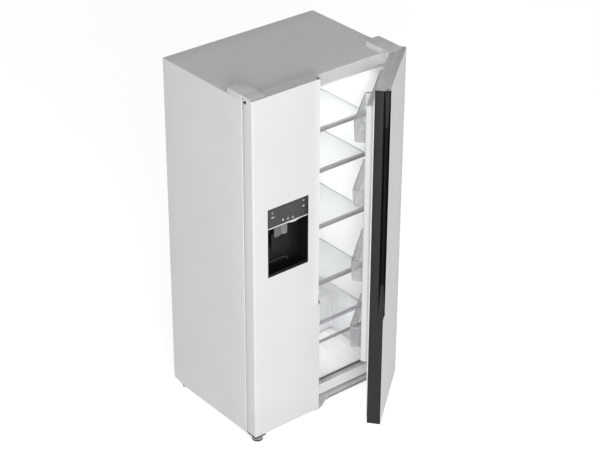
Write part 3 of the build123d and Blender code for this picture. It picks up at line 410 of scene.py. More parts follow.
def cut(bm_a, bm_b, op="DIFFERENCE"):
    """Exact boolean of two meshes; returns a new mesh."""
    obs = []
    for b in (bm_a, bm_b):
        bmesh.ops.remove_doubles(b, verts=b.verts, dist=1e-4)
        bmesh.ops.recalc_face_normals(b, faces=b.faces)
        me = bpy.data.meshes.new("tmp")
        b.to_mesh(me)
        b.free()
        o = bpy.data.objects.new("tmp", me)
        scene.collection.objects.link(o)
        obs.append(o)
    md = obs[0].modifiers.new("b", "BOOLEAN")
    md.operation = op
    md.object = obs[1]
    md.solver = "EXACT"
    dg = bpy.context.evaluated_depsgraph_get()
    dg.update()
    me = bpy.data.meshes.new_from_object(obs[0].evaluated_get(dg))
    bm = bmesh.new()
    bm.from_mesh(me)
    for o in obs:
        d = o.data
        bpy.data.objects.remove(o)
        bpy.data.meshes.remove(d)
    bpy.data.meshes.remove(me)
    return bm


def piece(name, bm, body, slot, mat=None, replaces=(), turn=False, sharp=32.0, bevel=0.0, seg=2, solid=0.0, solid_off=-1.0, mats=None, flip=False):
    """Finish a mesh: metres, one shade per smooth face group, its material, the body it rides on."""
    bmesh.ops.remove_doubles(bm, verts=bm.verts, dist=2e-4)
    bmesh.ops.recalc_face_normals(bm, faces=bm.faces)
    if flip:
        bmesh.ops.reverse_faces(bm, faces=bm.faces)
    bm.transform(Matrix.Diagonal((0.001, 0.001, 0.001, 1)))
    if turn:
        bm.transform(TURN)
    lim = radians(sharp)
    for f in bm.faces:
        f.smooth = True
    for e in bm.edges:
        e.smooth = len(e.link_faces) == 2 and e.calc_face_angle(0.0) < lim
    me = bpy.data.meshes.new(name)
    bm.to_mesh(me)
    bm.free()
    o = bpy.data.objects.new(name, me)
    scene.collection.objects.link(o)
    for m in (mats or [MAT[mat or slot]]):
        me.materials.append(m)
    if solid:
        s = o.modifiers.new("thickness", "SOLIDIFY")
        s.thickness = solid * 0.001
        s.offset = solid_off
        s.use_even_offset = True
    if bevel:
        b = o.modifiers.new("soft_edges", "BEVEL")
        b.width = bevel * 0.001
        b.segments = seg
        b.limit_method = "ANGLE"
        b.angle_limit = radians(34)
        b.harden_normals = True
        b.use_clamp_overlap = True
    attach(o, body)
    if replaces:
        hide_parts(*([replaces] if isinstance(replaces, str) else replaces))
    return o


# ---------------------------------------------------------------- camera
cam_d = bpy.data.cameras.new("camera")
cam = bpy.data.objects.new("camera", cam_d)
scene.collection.objects.link(cam)
cam.location = (-4.7103, -5.8558, 5.1448)
cam.rotation_euler = (radians(90 - 29.4872), 0, radians(-39.02))
cam_d.sensor_width = 36.0
cam_d.lens = 108.29
cam_d.shift_x = 0.0167
cam_d.clip_end = 200.0
scene.camera = cam
scene.view_settings.view_transform = "Standard"
scene.view_settings.look = "None"

# ---------------------------------------------------------------- light and floor
world = bpy.data.worlds.new("studio")
scene.world = world
world.use_nodes = True
wn = world.node_tree
wn.nodes.clear()
w_out = node(wn, "OutputWorld")
w_bg = node(wn, "Background")
w_tc = node(wn, "TexCoord")
w_sep = node(wn, "SeparateXYZ")
w_ramp = node(wn, "ValToRGB")
wn.links.new(w_tc.outputs["Generated"], w_sep.inputs[0])
w_map = node(wn, "MapRange")
w_map.inputs["From Min"].default_value = -1.0
wn.links.new(w_sep.outputs["Z"], w_map.inputs[0])
wn.links.new(w_map.outputs[0], w_ramp.inputs[0])
cr = w_ramp.color_ramp
LEVELS = ((0.0, 0.36), (0.49, 0.36), (0.52, 0.50), (0.74, 0.50), (0.90, 0.34), (1.0, 0.30))
for p, v in LEVELS[1:-1]:
    cr.elements.new(p)
for e, (p, v) in zip(cr.elements, LEVELS):
    e.position = p
    e.color = (v, v, v, 1)
wn.links.new(w_ramp.outputs[0], w_bg.inputs["Color"])
wn.links.new(w_bg.outputs[0], w_out.inputs[0])


def area(name, loc, target, sx, sy, watts, show=True):
    d = bpy.data.lights.new(name, "AREA")
    d.shape = "RECTANGLE"
    d.size = sx
    d.size_y = sy
    d.energy = watts
    o = bpy.data.objects.new(name, d)
    scene.collection.objects.link(o)
    o.location = loc
    o.rotation_euler = (Vector(target) - Vector(loc)).to_track_quat("-Z", "Y").to_euler()
    o.visible_camera = False
    o.visible_glossy = show
    return o


def spot(name, loc, target, deg, watts):
    d = bpy.data.lights.new(name, "SPOT")
    d.spot_size = radians(deg)
    d.spot_blend = 1.0
    d.shadow_soft_size = 0.04
    d.energy = watts
    o = bpy.data.objects.new(name, d)
    scene.collection.objects.link(o)
    o.location = loc
    o.rotation_euler = (Vector(target) - Vector(loc)).to_track_quat("-Z", "Y").to_euler()
    o.visible_camera = False
    o.visible_glossy = False
    return o


area("key", (-4.0, -6.67, 2.5), (0.0, -0.2, 0.95), 3.6, 2.6, 395.0)
area("fridge_light_top", (0.183, -0.02, 1.690), (0.183, -0.02, 0.0), 0.30, 0.20, 0.62, False)
area("fridge_light_side", (-0.012, 0.03, 0.95), (0.39, 0.05, 0.95), 0.30, 1.10, 1.75, False)
area("crisper_light", (0.183, -0.08, 0.360), (0.183, -0.08, 0.0), 0.34, 0.26, 0.55, False)
FILLS = [spot("band_end_fill", (0.27, -0.335, 1.756), (0.405, -0.257, 1.750), 56.0, 0.48), spot("band_fill", (0.00, -0.43, 1.752), (0.41, -0.257, 1.746), 36.0, 2.1),
         spot("rail_fill", (0.00, -0.43, 0.085), (0.40, -0.257, 0.072), 36.0, 1.5)]
area("freezer_light", (-0.236, -0.10, 1.690), (-0.236, -0.05, 0.0), 0.22, 0.16, 0.42, False)

bm = bmesh.new()
strip(bm, [[(x, y, 0.0) for x in (-30, -6, 6, 30)] for y in (-30, -6, 6, 30)])
fl_me = bpy.data.meshes.new("floor")
bm.to_mesh(fl_me)
bm.free()
floor = bpy.data.objects.new("floor", fl_me)
scene.collection.objects.link(floor)
fm, fnt, fout = start("floor_pale")
f_add = node(fnt, "AddShader")
f_d = node(fnt, "BsdfDiffuse")
f_e = node(fnt, "Emission")
f_tc = node(fnt, "TexCoord")
fnt.links.new(two_tone(fnt, f_tc.outputs["Object"], 0.6, (0.82, 0.82, 0.82), (0.84, 0.84, 0.84)), f_d.inputs["Color"])
f_e.inputs["Color"].default_value = (1, 1, 1, 1)
f_e.inputs["Strength"].default_value = 0.63
fnt.links.new(f_d.outputs[0], f_add.inputs[0])
fnt.links.new(f_e.outputs[0], f_add.inputs[1])
fnt.links.new(f_add.outputs[0], fout.inputs[0])
fl_me.materials.append(fm)
floor.visible_diffuse = False

# ---------------------------------------------------------------- carried-over nodes: material and softened edges
SLOT = {s["node"]: s["material_slot"] for s in frame["record"]["subparts"]}
SOFT = {"freezer_door_caps": 1.2, "fridge_door_caps": 1.2, "freezer_door_handle": 0.7, "fridge_door_handle": 0.7, "hinge_covers": 1.0,
        "lower_hinges": 0.8, "upper_hinges": 0.5, "front_foot_left": 0.5, "front_foot_right": 0.5, "dispenser_housing": 0.8, "dispenser_panel": 0.8,
        "ice_chute": 0.6, "dispenser_lever": 0.7, "chute_flap": 0.4, "drip_grille": 0.5, "kick_plate": 0.8, "fridge_air_duct": 1.0, "interior_lamps": 1.5,
        "ice_maker": 1.0, "ice_bin": 0.8, "ice_tray": 0.6, "auger": 0.5, "evaporator_cover": 0.5, "machine_cover": 0.4, "water_valve": 0.8,
        "freezer_shelves": 0.6, "base_pan": 0.4, "mullion_strip": 0.4, "fan_motors": 0.8, "condenser_fan": 0.4, "evaporator_fan": 0.4}
for n, o in NODES.items():
    o.data.materials.clear()
    o.data.materials.append(MAT["hinge_black" if n == "lower_hinges" else SLOT[n]])
    if n in SOFT:
        w = o.modifiers.new("weld", "WELD")
        w.merge_threshold = 1e-5
        d = o.modifiers.new("flats", "DECIMATE")
        d.decimate_type = "DISSOLVE"
        d.angle_limit = radians(0.4)
        b = o.modifiers.new("soft_edges", "BEVEL")
        b.width = SOFT[n] * 0.001
        b.segments = 2
        b.limit_method = "ANGLE"
        b.angle_limit = radians(34)
        b.harden_normals = True
        b.use_clamp_overlap = True

# ================================================================ cabinet
def offset_line(pts, d):
    """Move an open polyline sideways by d (to its left)."""
    out = []
    n = len(pts)
    for i in range(n):
        p, q, s = Vector(pts[max(i - 1, 0)]), Vector(pts[i]), Vector(pts[min(i + 1, n - 1)])
        e1 = (q - p) if i else (s - q)
        e2 = (s - q) if i < n - 1 else (q - p)
        n1, n2 = Vector((-e1.y, e1.x)).normalized(), Vector((-e2.y, e2.x)).normalized()
        k = n1 + n2
        k = k / max(0.3, k.length_squared / 2)
        out.append((q.x + k.x * d, q.y + k.y * d))
    return out


def arc(cx, cy, r, a0, a1, n=6):
    return [(cx + r * cos(radians(a0 + (a1 - a0) * i / n)), cy + r * sin(radians(a0 + (a1 - a0) * i / n))) for i in range(n + 1)]


# side wraps: front edge rolled into the face flange, rear edge folded over the back, top edge rolled in
for s, name in ((-1, "side_wrap_left"), (1, "side_wrap_right")):
    bm = bmesh.new()
    line = [(390.0, Y_CAB), (415.0, Y_CAB)] + arc(HX - 3.5, Y_CAB + 3.5, 3.5, -90, 0) + [(HX, -150.0), (HX, 100.0), (HX, 258.0)] + arc(HX - 3, Y_R - 4, 3, 0, 90) + [(417.0, Y_R - 1)]
    rows = []
    for d, z in ((0, None), (0, 420.0), (0, 1100.0), (0, Z_TOP - 2.8), (0.35, Z_TOP - 1.3), (1.2, Z_TOP - 0.35), (2.6, Z_TOP)):
        row = []
        for (x, y), (x0, y0) in zip(offset_line(line, d), line):
            low = (40.0 if x0 < 420 and y0 < 0 else Z_LOW) + (max(0.0, (y0 - 258.0) / 72.0) * 16.0 if x0 > 416 else 0)
            row.append((s * x, y, low if z is None else z))
        rows.append(row)
    strip(bm, rows)
    piece(name, bm, "cabinet", "white_steel", solid=1.2, solid_off=-1.0 if s > 0 else -1.0, replaces="cabinet_side_panels", sharp=50)

# top sheet with the face flange over the fridge and freezer openings; the flange takes a darker copy of the white
# paint, painted shade
bm = bmesh.new()
prof = [(Y_CAB, 1716.0), (Y_CAB, 1745.0)] + [(Y_CAB + 3 - 3 * cos(radians(a)), Z_TOP - 3 + 3 * sin(radians(a))) for a in range(0, 91, 15)] + [(-120.0, Z_TOP), (60.0, Z_TOP), (240.0, Z_TOP), (328.0, Z_TOP), (329.6, Z_TOP - 0.6), (330.0, Z_TOP - 2.5), (330.0, Z_TOP - 14)]
xs = [-440.2, -390.0, -200.0, 0.0, 200.0, 390.0, 440.2]
grid = [[bm.verts.new((x, y, z)) for y, z in prof] for x in xs]
for i in range(len(xs) - 1):
    for j in range(len(prof) - 1):
        if i in (0, 5) and j < 8:
            continue
        bm.faces.new((grid[i][j], grid[i + 1][j], grid[i + 1][j + 1], grid[i][j + 1]))
bmesh.ops.delete(bm, geom=[v for v in bm.verts if not v.link_faces], context="VERTS")
# faces on the front flange get the darker paint: painted shade
for f in bm.faces:
    if f.calc_center_median().y < Y_CAB + 0.2:
        f.material_index = 1
piece("top_sheet", bm, "cabinet", "white_steel", mats=[MAT["white_steel"], MAT["face_flange_painted_shade"]], solid=1.2, replaces="top_panel", sharp=50)

# back sheet with pressed stiffening beads, screws along its edges
bm = bmesh.new()
beads = (-300.0, -150.0, 0.0, 150.0, 300.0)
xs = sorted({-439.0, 439.0, *[b + d for b in beads for d in (-24, -20, -15, -10, -5, 0, 5, 10, 15, 20, 24)], -225.0, -75.0, 75.0, 225.0, -370.0, 370.0})
zs = [262.0, 320.0, 336.0, 342.0, 350.0, 362.0, 700.0, 1100.0, 1400.0, 1658.0, 1670.0, 1678.0, 1684.0, 1700.0, 1764.0]


def bead_depth(x, z):
    b = min(beads, key=lambda q: abs(q - x))
    fx = max(0.0, 1 - (abs(x - b) / 22.0) ** 2)
    e = min(z - 340.0, 1680.0 - z)
    fz = min(1.0, max(0.0, e / 22.0))
    return 4.2 * sqrt(fx) * (fz * (2 - fz))


strip(bm, [[(x, 328.95 + 0.24 * bead_depth(x, z), z) for x in xs] for z in zs])
piece("back_sheet", bm, "cabinet", "bare_steel", solid=0.3, replaces="back_panel", sharp=60, flip=False)
bm = bmesh.new()
for z in (300.0, 560.0, 820.0, 1080.0, 1340.0, 1600.0, 1740.0):
    for x in (-428.0, 428.0):
        lathe(bm, ((0.01, -1.6), (4.6, -1.6), (4.8, -0.9), (4.2, -0.25), (2.6, 0.0), (2.2, -0.5), (0.01, -0.5)), (x, 330.0, z), "y", 18)
for x in (-360.0, -120.0, 120.0, 360.0):
    lathe(bm, ((0.01, -1.6), (4.6, -1.6), (4.8, -0.9), (4.2, -0.25), (2.6, 0.0), (2.2, -0.5), (0.01, -0.5)), (x, 330.0, 1752.0), "y", 18)
    lathe(bm, ((0.01, -1.6), (4.6, -1.6), (4.8, -0.9), (4.2, -0.25), (2.6, 0.0), (2.2, -0.5), (0.01, -0.5)), (x, 329.2, 252.0), "y", 18)
piece("back_screws", bm, "cabinet", "zinc")

# base: pan, front rail, roller forks and axles
bm = bmesh.new()
rbox(bm, -441.0, 441.0, -255.6, 322.0, 40.0, 41.5, 0.5, 1)
rail = [(-253.8, 101.0), (-256.2, 101.0)] + [(-257 + 1.6 - 1.6 * cos(radians(a)), 99.4 + 1.6 * sin(radians(a))) for a in (60, 30, 0)] + [(-257.0, 72.0), (-257.0, 48.0), (-256.7, 46.6), (-255.8, 46.0), (-253.8, 46.0)]
prism(bm, rail, "x", -390.0, 390.0)
for s in (-1, 1):
    for side in (-1, 1):
        xc = s * 401.0 + side * 15.0
        rslab(bm, [(297, 14), (299, 40.5), (261, 40.5), (263, 14), (268, 9.5), (280, 8.2), (292, 9.5)], "x", xc - 1.1, xc + 1.1, 0.5, 2)
    lathe(bm, ((0.01, -17.4), (3.4, -17.4), (5.2, -16.6), (5.2, -16.1), (4.0, -16.0), (4.0, 16.0), (5.2, 16.1), (5.2, 16.6), (3.4, 17.4), (0.01, 17.4)), (s * 401.0, 280.0, 19.0), "x", 24)
piece("base_frame", bm, "cabinet", "white_steel", replaces="base_pan", sharp=40)

# kick plate: one moulding whose middle swells forward into a rounded toe
bm = bmesh.new()


def toe(x):
    a, b, c = -176.0, -45.0, 86.0
    if x <= a or x >= c:
        return 0.0
    t = (x - a) / (b - a) if x < b else (c - x) / (c - b)
    return t * t * (3 - 2 * t)


rings = []
xs = [-372.0, -370.8, -368.0, -280.0] + [-180.0 + 270.0 * i / 44 for i in range(45)] + [200.0, 368.0, 370.8, 372.0]
for x in xs:
    e = min(1.0, (372.0 - abs(x)) / 4.0)
    k = 1.2 * (1 - e)
    t = toe(x)
    yl = Y_CAB - 6.0 * (1 - t) - 27.0 * t
    yf = Y_CAB - 1.6 - 57.0 * t
    zt = 34.0 - 10.6 * min(1.0, 3.0 * t) - k
    zd = 18.0 + 0.8 * t
    # lower lip, step back (or out to the toe), face, top that falls back to the rail
    ring = [(-254.6, 1.6 + k), (yl + 2.0, 1.6 + k), (yl + 0.6, 2.2 + k), (yl, 4.0 + k), (yl, 9.4), (yl + 0.6, 10.6), (yf + 0.8, 12.0 + 2.8 * t), (yf + 0.2, 13.2 + 2.6 * t), (yf, 14.8 + 2.4 * t), (yf, zd), (yf + 0.1, zd + 0.4 * (zt - zd)), (yf + 0.4, zd + 0.72 * (zt - zd)),
            (yf + 1.2, zd + 0.92 * (zt - zd)), (yf + 2.4, zt) if t < 0.02 else ((yf - 254.6) / 2 + 2.0, zt + 0.45 * (34.0 - k - zt)), (-255.8, 34.0 - k), (-255.2, 34.2 - k), (-254.6, 34.2 - k)]
    rings.append([(x, y, z) for y, z in ring])
loft(bm, rings)
bm.faces.ensure_lookup_table()
# the lower lip takes the darkest copy, the upper band of the face a middle copy, the rest of the face the plain kick
# grey: painted shade bands
for f in bm.faces:
    c = f.calc_center_median()
    if abs(c.x) < 371.0 and c.y < -256.0:
        t = toe(c.x)
        f.material_index = 1 if c.z < 11.6 + 2.8 * t else (2 if c.z > 23.0 and t < 0.05 else 0)
# seam strip between the rail and the moulding, in the darkest kick grey: painted shade for the shadow gap under the
# rail
m = len(bm.faces)
rslab(bm, [(-255.2, 33.0), (-255.2, 46.4), (-257.6, 45.2), (-258.0, 44.0), (-256.7, 42.6), (-256.5, 36.0), (-257.2, 33.6)], "x", -371.0, 371.0, 0.3, 1)
bm.faces.ensure_lookup_table()
for f in bm.faces[m:]:
    f.material_index = 1
piece("kick_moulding", bm, "cabinet", "grey_kick", mats=[MAT["grey_kick"], MAT["kick_painted_shade"], MAT["kick_painted_half_shade"]], replaces="kick_plate", sharp=48)

# hinge covers: low moulded boxes with a rounded nose over each pivot
bm = bmesh.new()
for s in (-1, 1):
    a = bmesh.new()
    pts = rr(355.0, HX - 0.2, -256.6, -147.0, (5.0, 5.0, 10.0, 12.0))
    rslab(a, [(x, y) for x, y in pts], "z", 1779.1, 1806.6, 1.3, 3)
    b = bmesh.new()
    nose = ((356.4, 441.6, -320.0, -235.0, 13.0, 1800.85), (356.4, 441.6, -320.0, -235.0, 13.0, 1801.3), (358.2, 441.2, -302.5, -235.6, 9.0, 1805.0), (360.0, 440.6, -272.0, -236.2, 6.0, 1806.3))
    loft(b, [put(rr(x0, x1, y0, y1, (r, r, 4.0, 4.0)), "z", z) for x0, x1, y0, y1, r, z in nose])
    bmesh.ops.recalc_face_normals(b, faces=b.faces)
    u = cut(a, b, "UNION")
    # shallow fixing dimple
    c = bmesh.new()
    lathe(c, ((0.01, -1.2), (6.0, -1.2), (7.2, 0.0), (7.6, 4.0), (0.01, 4.0)), (402.0, -172.0, 1806.6), "z", 28)
    u = cut(u, c)
    if s < 0:
        u.transform(Matrix.Diagonal((-1, 1, 1, 1)))
    me = bpy.data.meshes.new("tmp")
    u.to_mesh(me)
    u.free()
    bm.from_mesh(me)
    bpy.data.meshes.remove(me)
piece("hinge_caps", bm, "cabinet", "light_cap", mat="cap_pale", replaces="hinge_covers", sharp=40)

# ================================================================ doors
def smooth(t):
    t = min(1.0, max(0.0, t))
    return t * t * (3 - 2 * t)


def door_sheet(s, x_free, hole=None):
    """Front sheet: flared grip lip along the upper free edge, rounded hinge corner, rolled rims."""
    bm = bmesh.new()
    ts = (0.0, 0.08, 0.18, 0.3, 0.45, 0.65, 1.0)
    inner = [200.0] if not hole else []
    zs = [ZD0 + 1.6, 300.0, 600.0, 622.0, 626.0, 629.0, 632.0, 635.0, 638.0, 641.0, 644.0, 647.0, 760.0, DZ0, DZ1, 1400.0, 1650.0, 1773.0, 1791.0, ZD1 - 1.6]
    rows = [(ZD0, 1.5), (ZD0 + 0.45, 0.45)] + [(z, 0.0) for z in zs] + [(ZD1 - 0.45, 0.45), (ZD1, 1.5)]

    def line(z):
        w = smooth((z - 624.0) / 21.0)
        tip = LIP_BACK * w
        pts = []
        for t in ts:
            u = tip + (LIP_FROM - tip) * t
            pts.append((x_free + s * u, Y_F - LIP_OUT * w * (1 - t) ** 1.7))
        if hole:
            for x in (hole[0], hole[1]) if s > 0 else (hole[1], hole[0]):
                pts.append((x, Y_F))
        else:
            pts.append((x_free + s * 220.0, Y_F))
        for a in range(0, 91, 10):
            pts.append((s * (HX - 8 + 8 * sin(radians(a))), Y_F + 8 - 8 * cos(radians(a))))
        pts += [(s * HX, -300.0), (s * HX, -288.5), (s * HX, Y_IN - 1.6), (s * (HX - 0.5), Y_IN - 0.5), (s * (HX - 1.8), Y_IN), (s * (HX - 9.0), Y_IN)]
        return pts
    grid = []
    for z, d in rows:
        pts = line(min(max(z, ZD0 + 1), ZD1 - 1))
        if d:
            pts = offset_line(pts, d if s > 0 else -d)
        grid.append([bm.verts.new((x, y, z)) for x, y in pts])
    k = len(ts)
    for (z0, _), (z1, _), a, b in zip(rows, rows[1:], grid, grid[1:]):
        for i in range(len(a) - 1):
            if hole and i == k and z0 >= DZ0 and z1 <= DZ1:
                continue
            if z0 == 1773.0 and abs(a[i].co.y + 288.5) < 0.1:
                # corner left open for the hinge
                m = bm.verts.new(a[i + 1].co.lerp(b[i + 1].co, 0.36))
                bm.faces.new((m, b[i + 1], b[i]))
                bm.faces.new((a[i + 1], a[i + 2], b[i + 2], b[i + 1], m))
                continue
            if z0 == 1773.0 and i > 0 and abs(a[i - 1].co.y + 288.5) < 0.1:
                continue
            bm.faces.new((a[i], a[i + 1], b[i + 1], b[i]))
    return bm


piece("fridge_door_front", door_sheet(1, XR), "fridge_door", "white_steel", solid=1.2, replaces="fridge_door_skin", turn=True, sharp=50)
piece("freezer_door_front", door_sheet(-1, XL, (DX0, DX1)), "freezer_door", "white_steel", solid=1.2, replaces="freezer_door_skin", sharp=50)


def frame_rings(x0, x1, z0, z1, steps, r0, n=7):
    out = []
    for d, y in steps:
        out.append([(x, y, z) for x, z in rr(x0 + d, x1 - d, z0 + d, z1 - d, max(2.0, r0 - d * 0.45), n)])
    return out


def liner_sheet(plate, bead):
    """Formed inner door panel: flat rim, drafted bead with soft edges, sunk middle."""
    bm = bmesh.new()
    px0, px1, pz0, pz1 = plate
    bx0, bx1, bz0, bz1 = bead
    H = 42.0
    steps = ((-4.0, 0.0), (-1.6, 0.25), (-0.4, 1.2), (0.2, 3.4), (0.8, H * 0.5), (1.5, H - 4.6), (1.9, H - 2.3), (2.9, H - 0.8), (4.8, H), (10.0, H),
             (25.0, H), (27.0, H - 0.8), (28.1, H - 2.3), (28.5, H - 4.6), (29.2, H * 0.5), (29.8, 3.4), (30.4, 1.2), (31.6, 0.25), (34.0, 0.0))
    rings = [[(x, Y_IN, z) for x, z in rr(px0, px1, pz0, pz1, 0.6, 7)]] + frame_rings(bx0, bx1, bz0, bz1, [(d, Y_IN + h) for d, h in steps], 7.0)
    # inner floor in two steps so that the shade stays even
    rings.append([(x, Y_IN, z) for x, z in rr(bx0 + 60, bx1 - 60, bz0 + 60, bz1 - 60, 4.0, 7)])
    loft(bm, rings, cap0=False)
    return bm


bm = liner_sheet((XR + 3.2, 441.0, 48.5, 1784.5), (-14.0, 370.0, 360.0, 1706.0))
piece("fridge_door_inner", bm, "fridge_door", "white_liner", mat="door_liner", solid=1.8, solid_off=-1.0, replaces="fridge_door_liner", turn=True, sharp=40)
bm = bmesh.new()
for z0, z1 in ((1500.0, 1606.0), (1175.0, 1260.0), (776.0, 888.0), (409.0, 526.0)):
    for x, s in ((15.2, 1), (340.8, -1)):
        # lugs that the bins hang on
        rslab(bm, [(x - s * 1.0, -259.0), (x + s * 2.4, -257.0), (x + s * 2.4, -240.0), (x - s * 1.0, -238.0)][::s], "z", z0 - 9.0, z0 - 0.6, 1.0, 2)
piece("fridge_door_lugs", bm, "fridge_door", "white_liner", turn=True)
bm = liner_sheet((-441.0, XL - 3.2, 48.5, 1784.5), (-370.0, -112.0, 130.0, 1706.0))
# opening for the dispenser
for co, no in (((-378.0, 0, 0), (1, 0, 0)), ((-104.0, 0, 0), (1, 0, 0)), ((0, 0, 853.0), (0, 0, 1)), ((0, 0, 1287.0), (0, 0, 1))):
    bmesh.ops.bisect_plane(bm, geom=bm.verts[:] + bm.edges[:] + bm.faces[:], plane_co=co, plane_no=no)
gone = [f for f in bm.faces if -378.0 < f.calc_center_median().x < -104.0 and 853.0 < f.calc_center_median().z < 1287.0]
bmesh.ops.delete(bm, geom=gone, context="FACES")
piece("freezer_door_inner", bm, "freezer_door", "white_liner", mat="door_liner", solid=1.8, solid_off=-1.0, replaces="freezer_door_liner", sharp=40)

# cover behind the dispenser, with the way in for the ice
a = bmesh.new()
rings = []
for d, y in ((-3.0, Y_IN + 0.1), (-3.0, Y_IN + 1.6), (-0.6, Y_IN + 2.0), (0.0, Y_IN + 3.0), (0.2, Y_IN + 6.0), (0.6, -230.0), (0.9, -225.6), (1.3, -224.0), (2.4, -222.7), (4.4, -222.1), (9.0, -222.0)):
    rings.append([(x, y, z) for x, z in rr(-384.0 + d, -98.0 - d, 846.0 + d, 1294.0 - d, 3.8, 6)])
loft(a, rings)
b = bmesh.new()
rbox(b, -380.0, -102.0, -280.0, -225.0, 850.0, 1290.0, 8.0, 3)
a = cut(a, b)
b = bmesh.new()
rbox(b, -319.5, -240.5, -275.0, -215.0, 1244.0, 1288.0 - 10.0, 5.0, 3)
u = cut(a, b)
b = bmesh.new()
for x in (-366.0, -116.0):
    for z in (866.0, 1070.0, 1272.0):
        lathe(b, ((0.01, 0.0), (5.0, 0.0), (5.4, 6.0), (0.01, 6.0)), (x, -224.0, z), "y", 20)
u = cut(u, b)
piece("dispenser_back_cover", u, "freezer_door", "white_liner", sharp=38)


def gasket(x0, x1, z0, z1):
    bm = bmesh.new()
    sec = ((2.2, -263.9), (0.4, -263.0), (0.0, -262.2), (1.6, -261.2), (1.6, -260.6), (0.2, -259.6), (0.4, -258.4), (2.4, -257.7), (6.0, -257.5), (12.0, -257.5), (15.6, -257.7),
           (17.6, -258.4), (17.8, -259.6), (16.4, -260.6), (16.4, -261.2), (18.0, -262.2), (17.6, -263.0), (15.8, -263.9))
    loft(bm, frame_rings(x0, x1, z0, z1, sec, 12.0), loop=True)
    return bm


piece("fridge_door_seal", gasket(-46.0, 418.0, 68.0, 1753.0), "fridge_door", "seal", replaces="fridge_door_gasket", turn=True, sharp=60)
piece("freezer_door_seal", gasket(-418.0, -60.0, 68.0, 1753.0), "freezer_door", "seal", replaces="freezer_door_gasket", sharp=60)


def bins(x0, x1, levels):
    bm, rim = bmesh.new(), bmesh.new()
    for z0, z1 in levels:
        tub(bm, x0, x1, -263.0, -160.0, z0, z1 - 0.4, 2.5, 4.0, 14.0)
        # thick rolled rim
        rings = []
        for d, z in ((-0.0, z1 - 5.0), (-0.6, z1 - 4.2), (-0.6, z1 - 0.9), (0.2, z1), (2.4, z1), (3.2, z1 - 0.9), (3.2, z1 - 4.2), (2.6, z1 - 5.0)):
            rings.append([(x, y, z) for x, y in rr(x0 + d + 0.6, x1 - d - 0.6, -263.0 + d + 0.6, -160.0 - d - 0.6, 13.4 - d, 6)])
        loft(rim, rings, loop=True)
        # ribs inside the floor
        for i in range(5):
            xc = x0 + (x1 - x0) * (i + 1) / 6.0
            rslab(bm, rr(xc - 1.0, xc + 1.0, -244.0, -180.0, 0.9, 3), "z", z0 + 2.2, z0 + 4.2, 0.6, 2)
    return bm, rim


bm, rim = bins(18.0, 338.0, ((1500.0, 1606.0), (1175.0, 1260.0), (776.0, 888.0), (409.0, 526.0)))
piece("fridge_door_bin_set", bm, "fridge_door", "clear_plastic", replaces="fridge_door_bins", turn=True, sharp=40)
piece("fridge_door_bin_rims", rim, "fridge_door", "grey_trim", mat="bin_rim", turn=True, sharp=40)
bm, rim = bins(-338.0, -144.0, ((1480.0, 1590.0), (620.0, 730.0), (300.0, 410.0)))
piece("freezer_door_bin_set", bm, "freezer_door", "clear_plastic", replaces="freezer_door_bins", sharp=40)
piece("freezer_door_bin_rims", rim, "freezer_door", "grey_trim", mat="bin_rim", sharp=40)


# end pieces that close the grip recess at the top of each door, with a small round opening whose floor is a black disc
# of painted shade, and a black slab in the corner by the hinge, painted shade for the pocket there
for s, x_free, body, turn, name in ((1, XR, "fridge_door", True, "fridge_door_top_end"), (-1, XL, "freezer_door", False, "freezer_door_top_end")):
    a = bmesh.new()
    pts = [(0.1, -264.3), (0.1, -303.0), (4.4, -309.5), (6.0, -318.0), (6.4, -326.5), (13.2, -334.2), (22.0, -333.0), (31.5, -331.2), (31.5, -264.3)]
    rslab(a, [(x_free + s * u, y) for u, y in (pts if s < 0 else pts[::-1])], "z", 1800.04, 1800.70, 0.2, 1)
    b = bmesh.new()
    lathe(b, ((0.01, -2.0), (6.4, -2.0), (6.4, 2.0), (0.01, 2.0)), (x_free + s * 13.0, -318.0, 1800.3), "z", 24)
    piece(name, cut(a, b), body, "light_cap", turn=turn, sharp=40)
    bm = bmesh.new()
    lathe(bm, ((0.01, -0.14), (6.35, -0.14), (6.35, 0.1), (5.9, 0.16), (4.0, -0.05), (0.01, -0.08)), (x_free + s * 13.0, -318.0, 1800.2), "z", 24)
    piece(name.replace("top_end", "top_hole"), bm, body, "black_trim", mat="black_painted_shade", turn=turn, sharp=40)
    bm = bmesh.new()
    x0, x1 = sorted((s * (HX - 1.28), s * (HX - 1.42)))
    rslab(bm, [(-292.0, 1770.0), (-265.2, 1770.0), (-265.2, 1794.0), (-292.0, 1794.0)], "x", x0, x1, 0.03, 1)
    piece(name.replace("top_end", "hinge_pocket"), bm, body, "black_trim", mat="black_painted_shade", turn=turn, sharp=40)

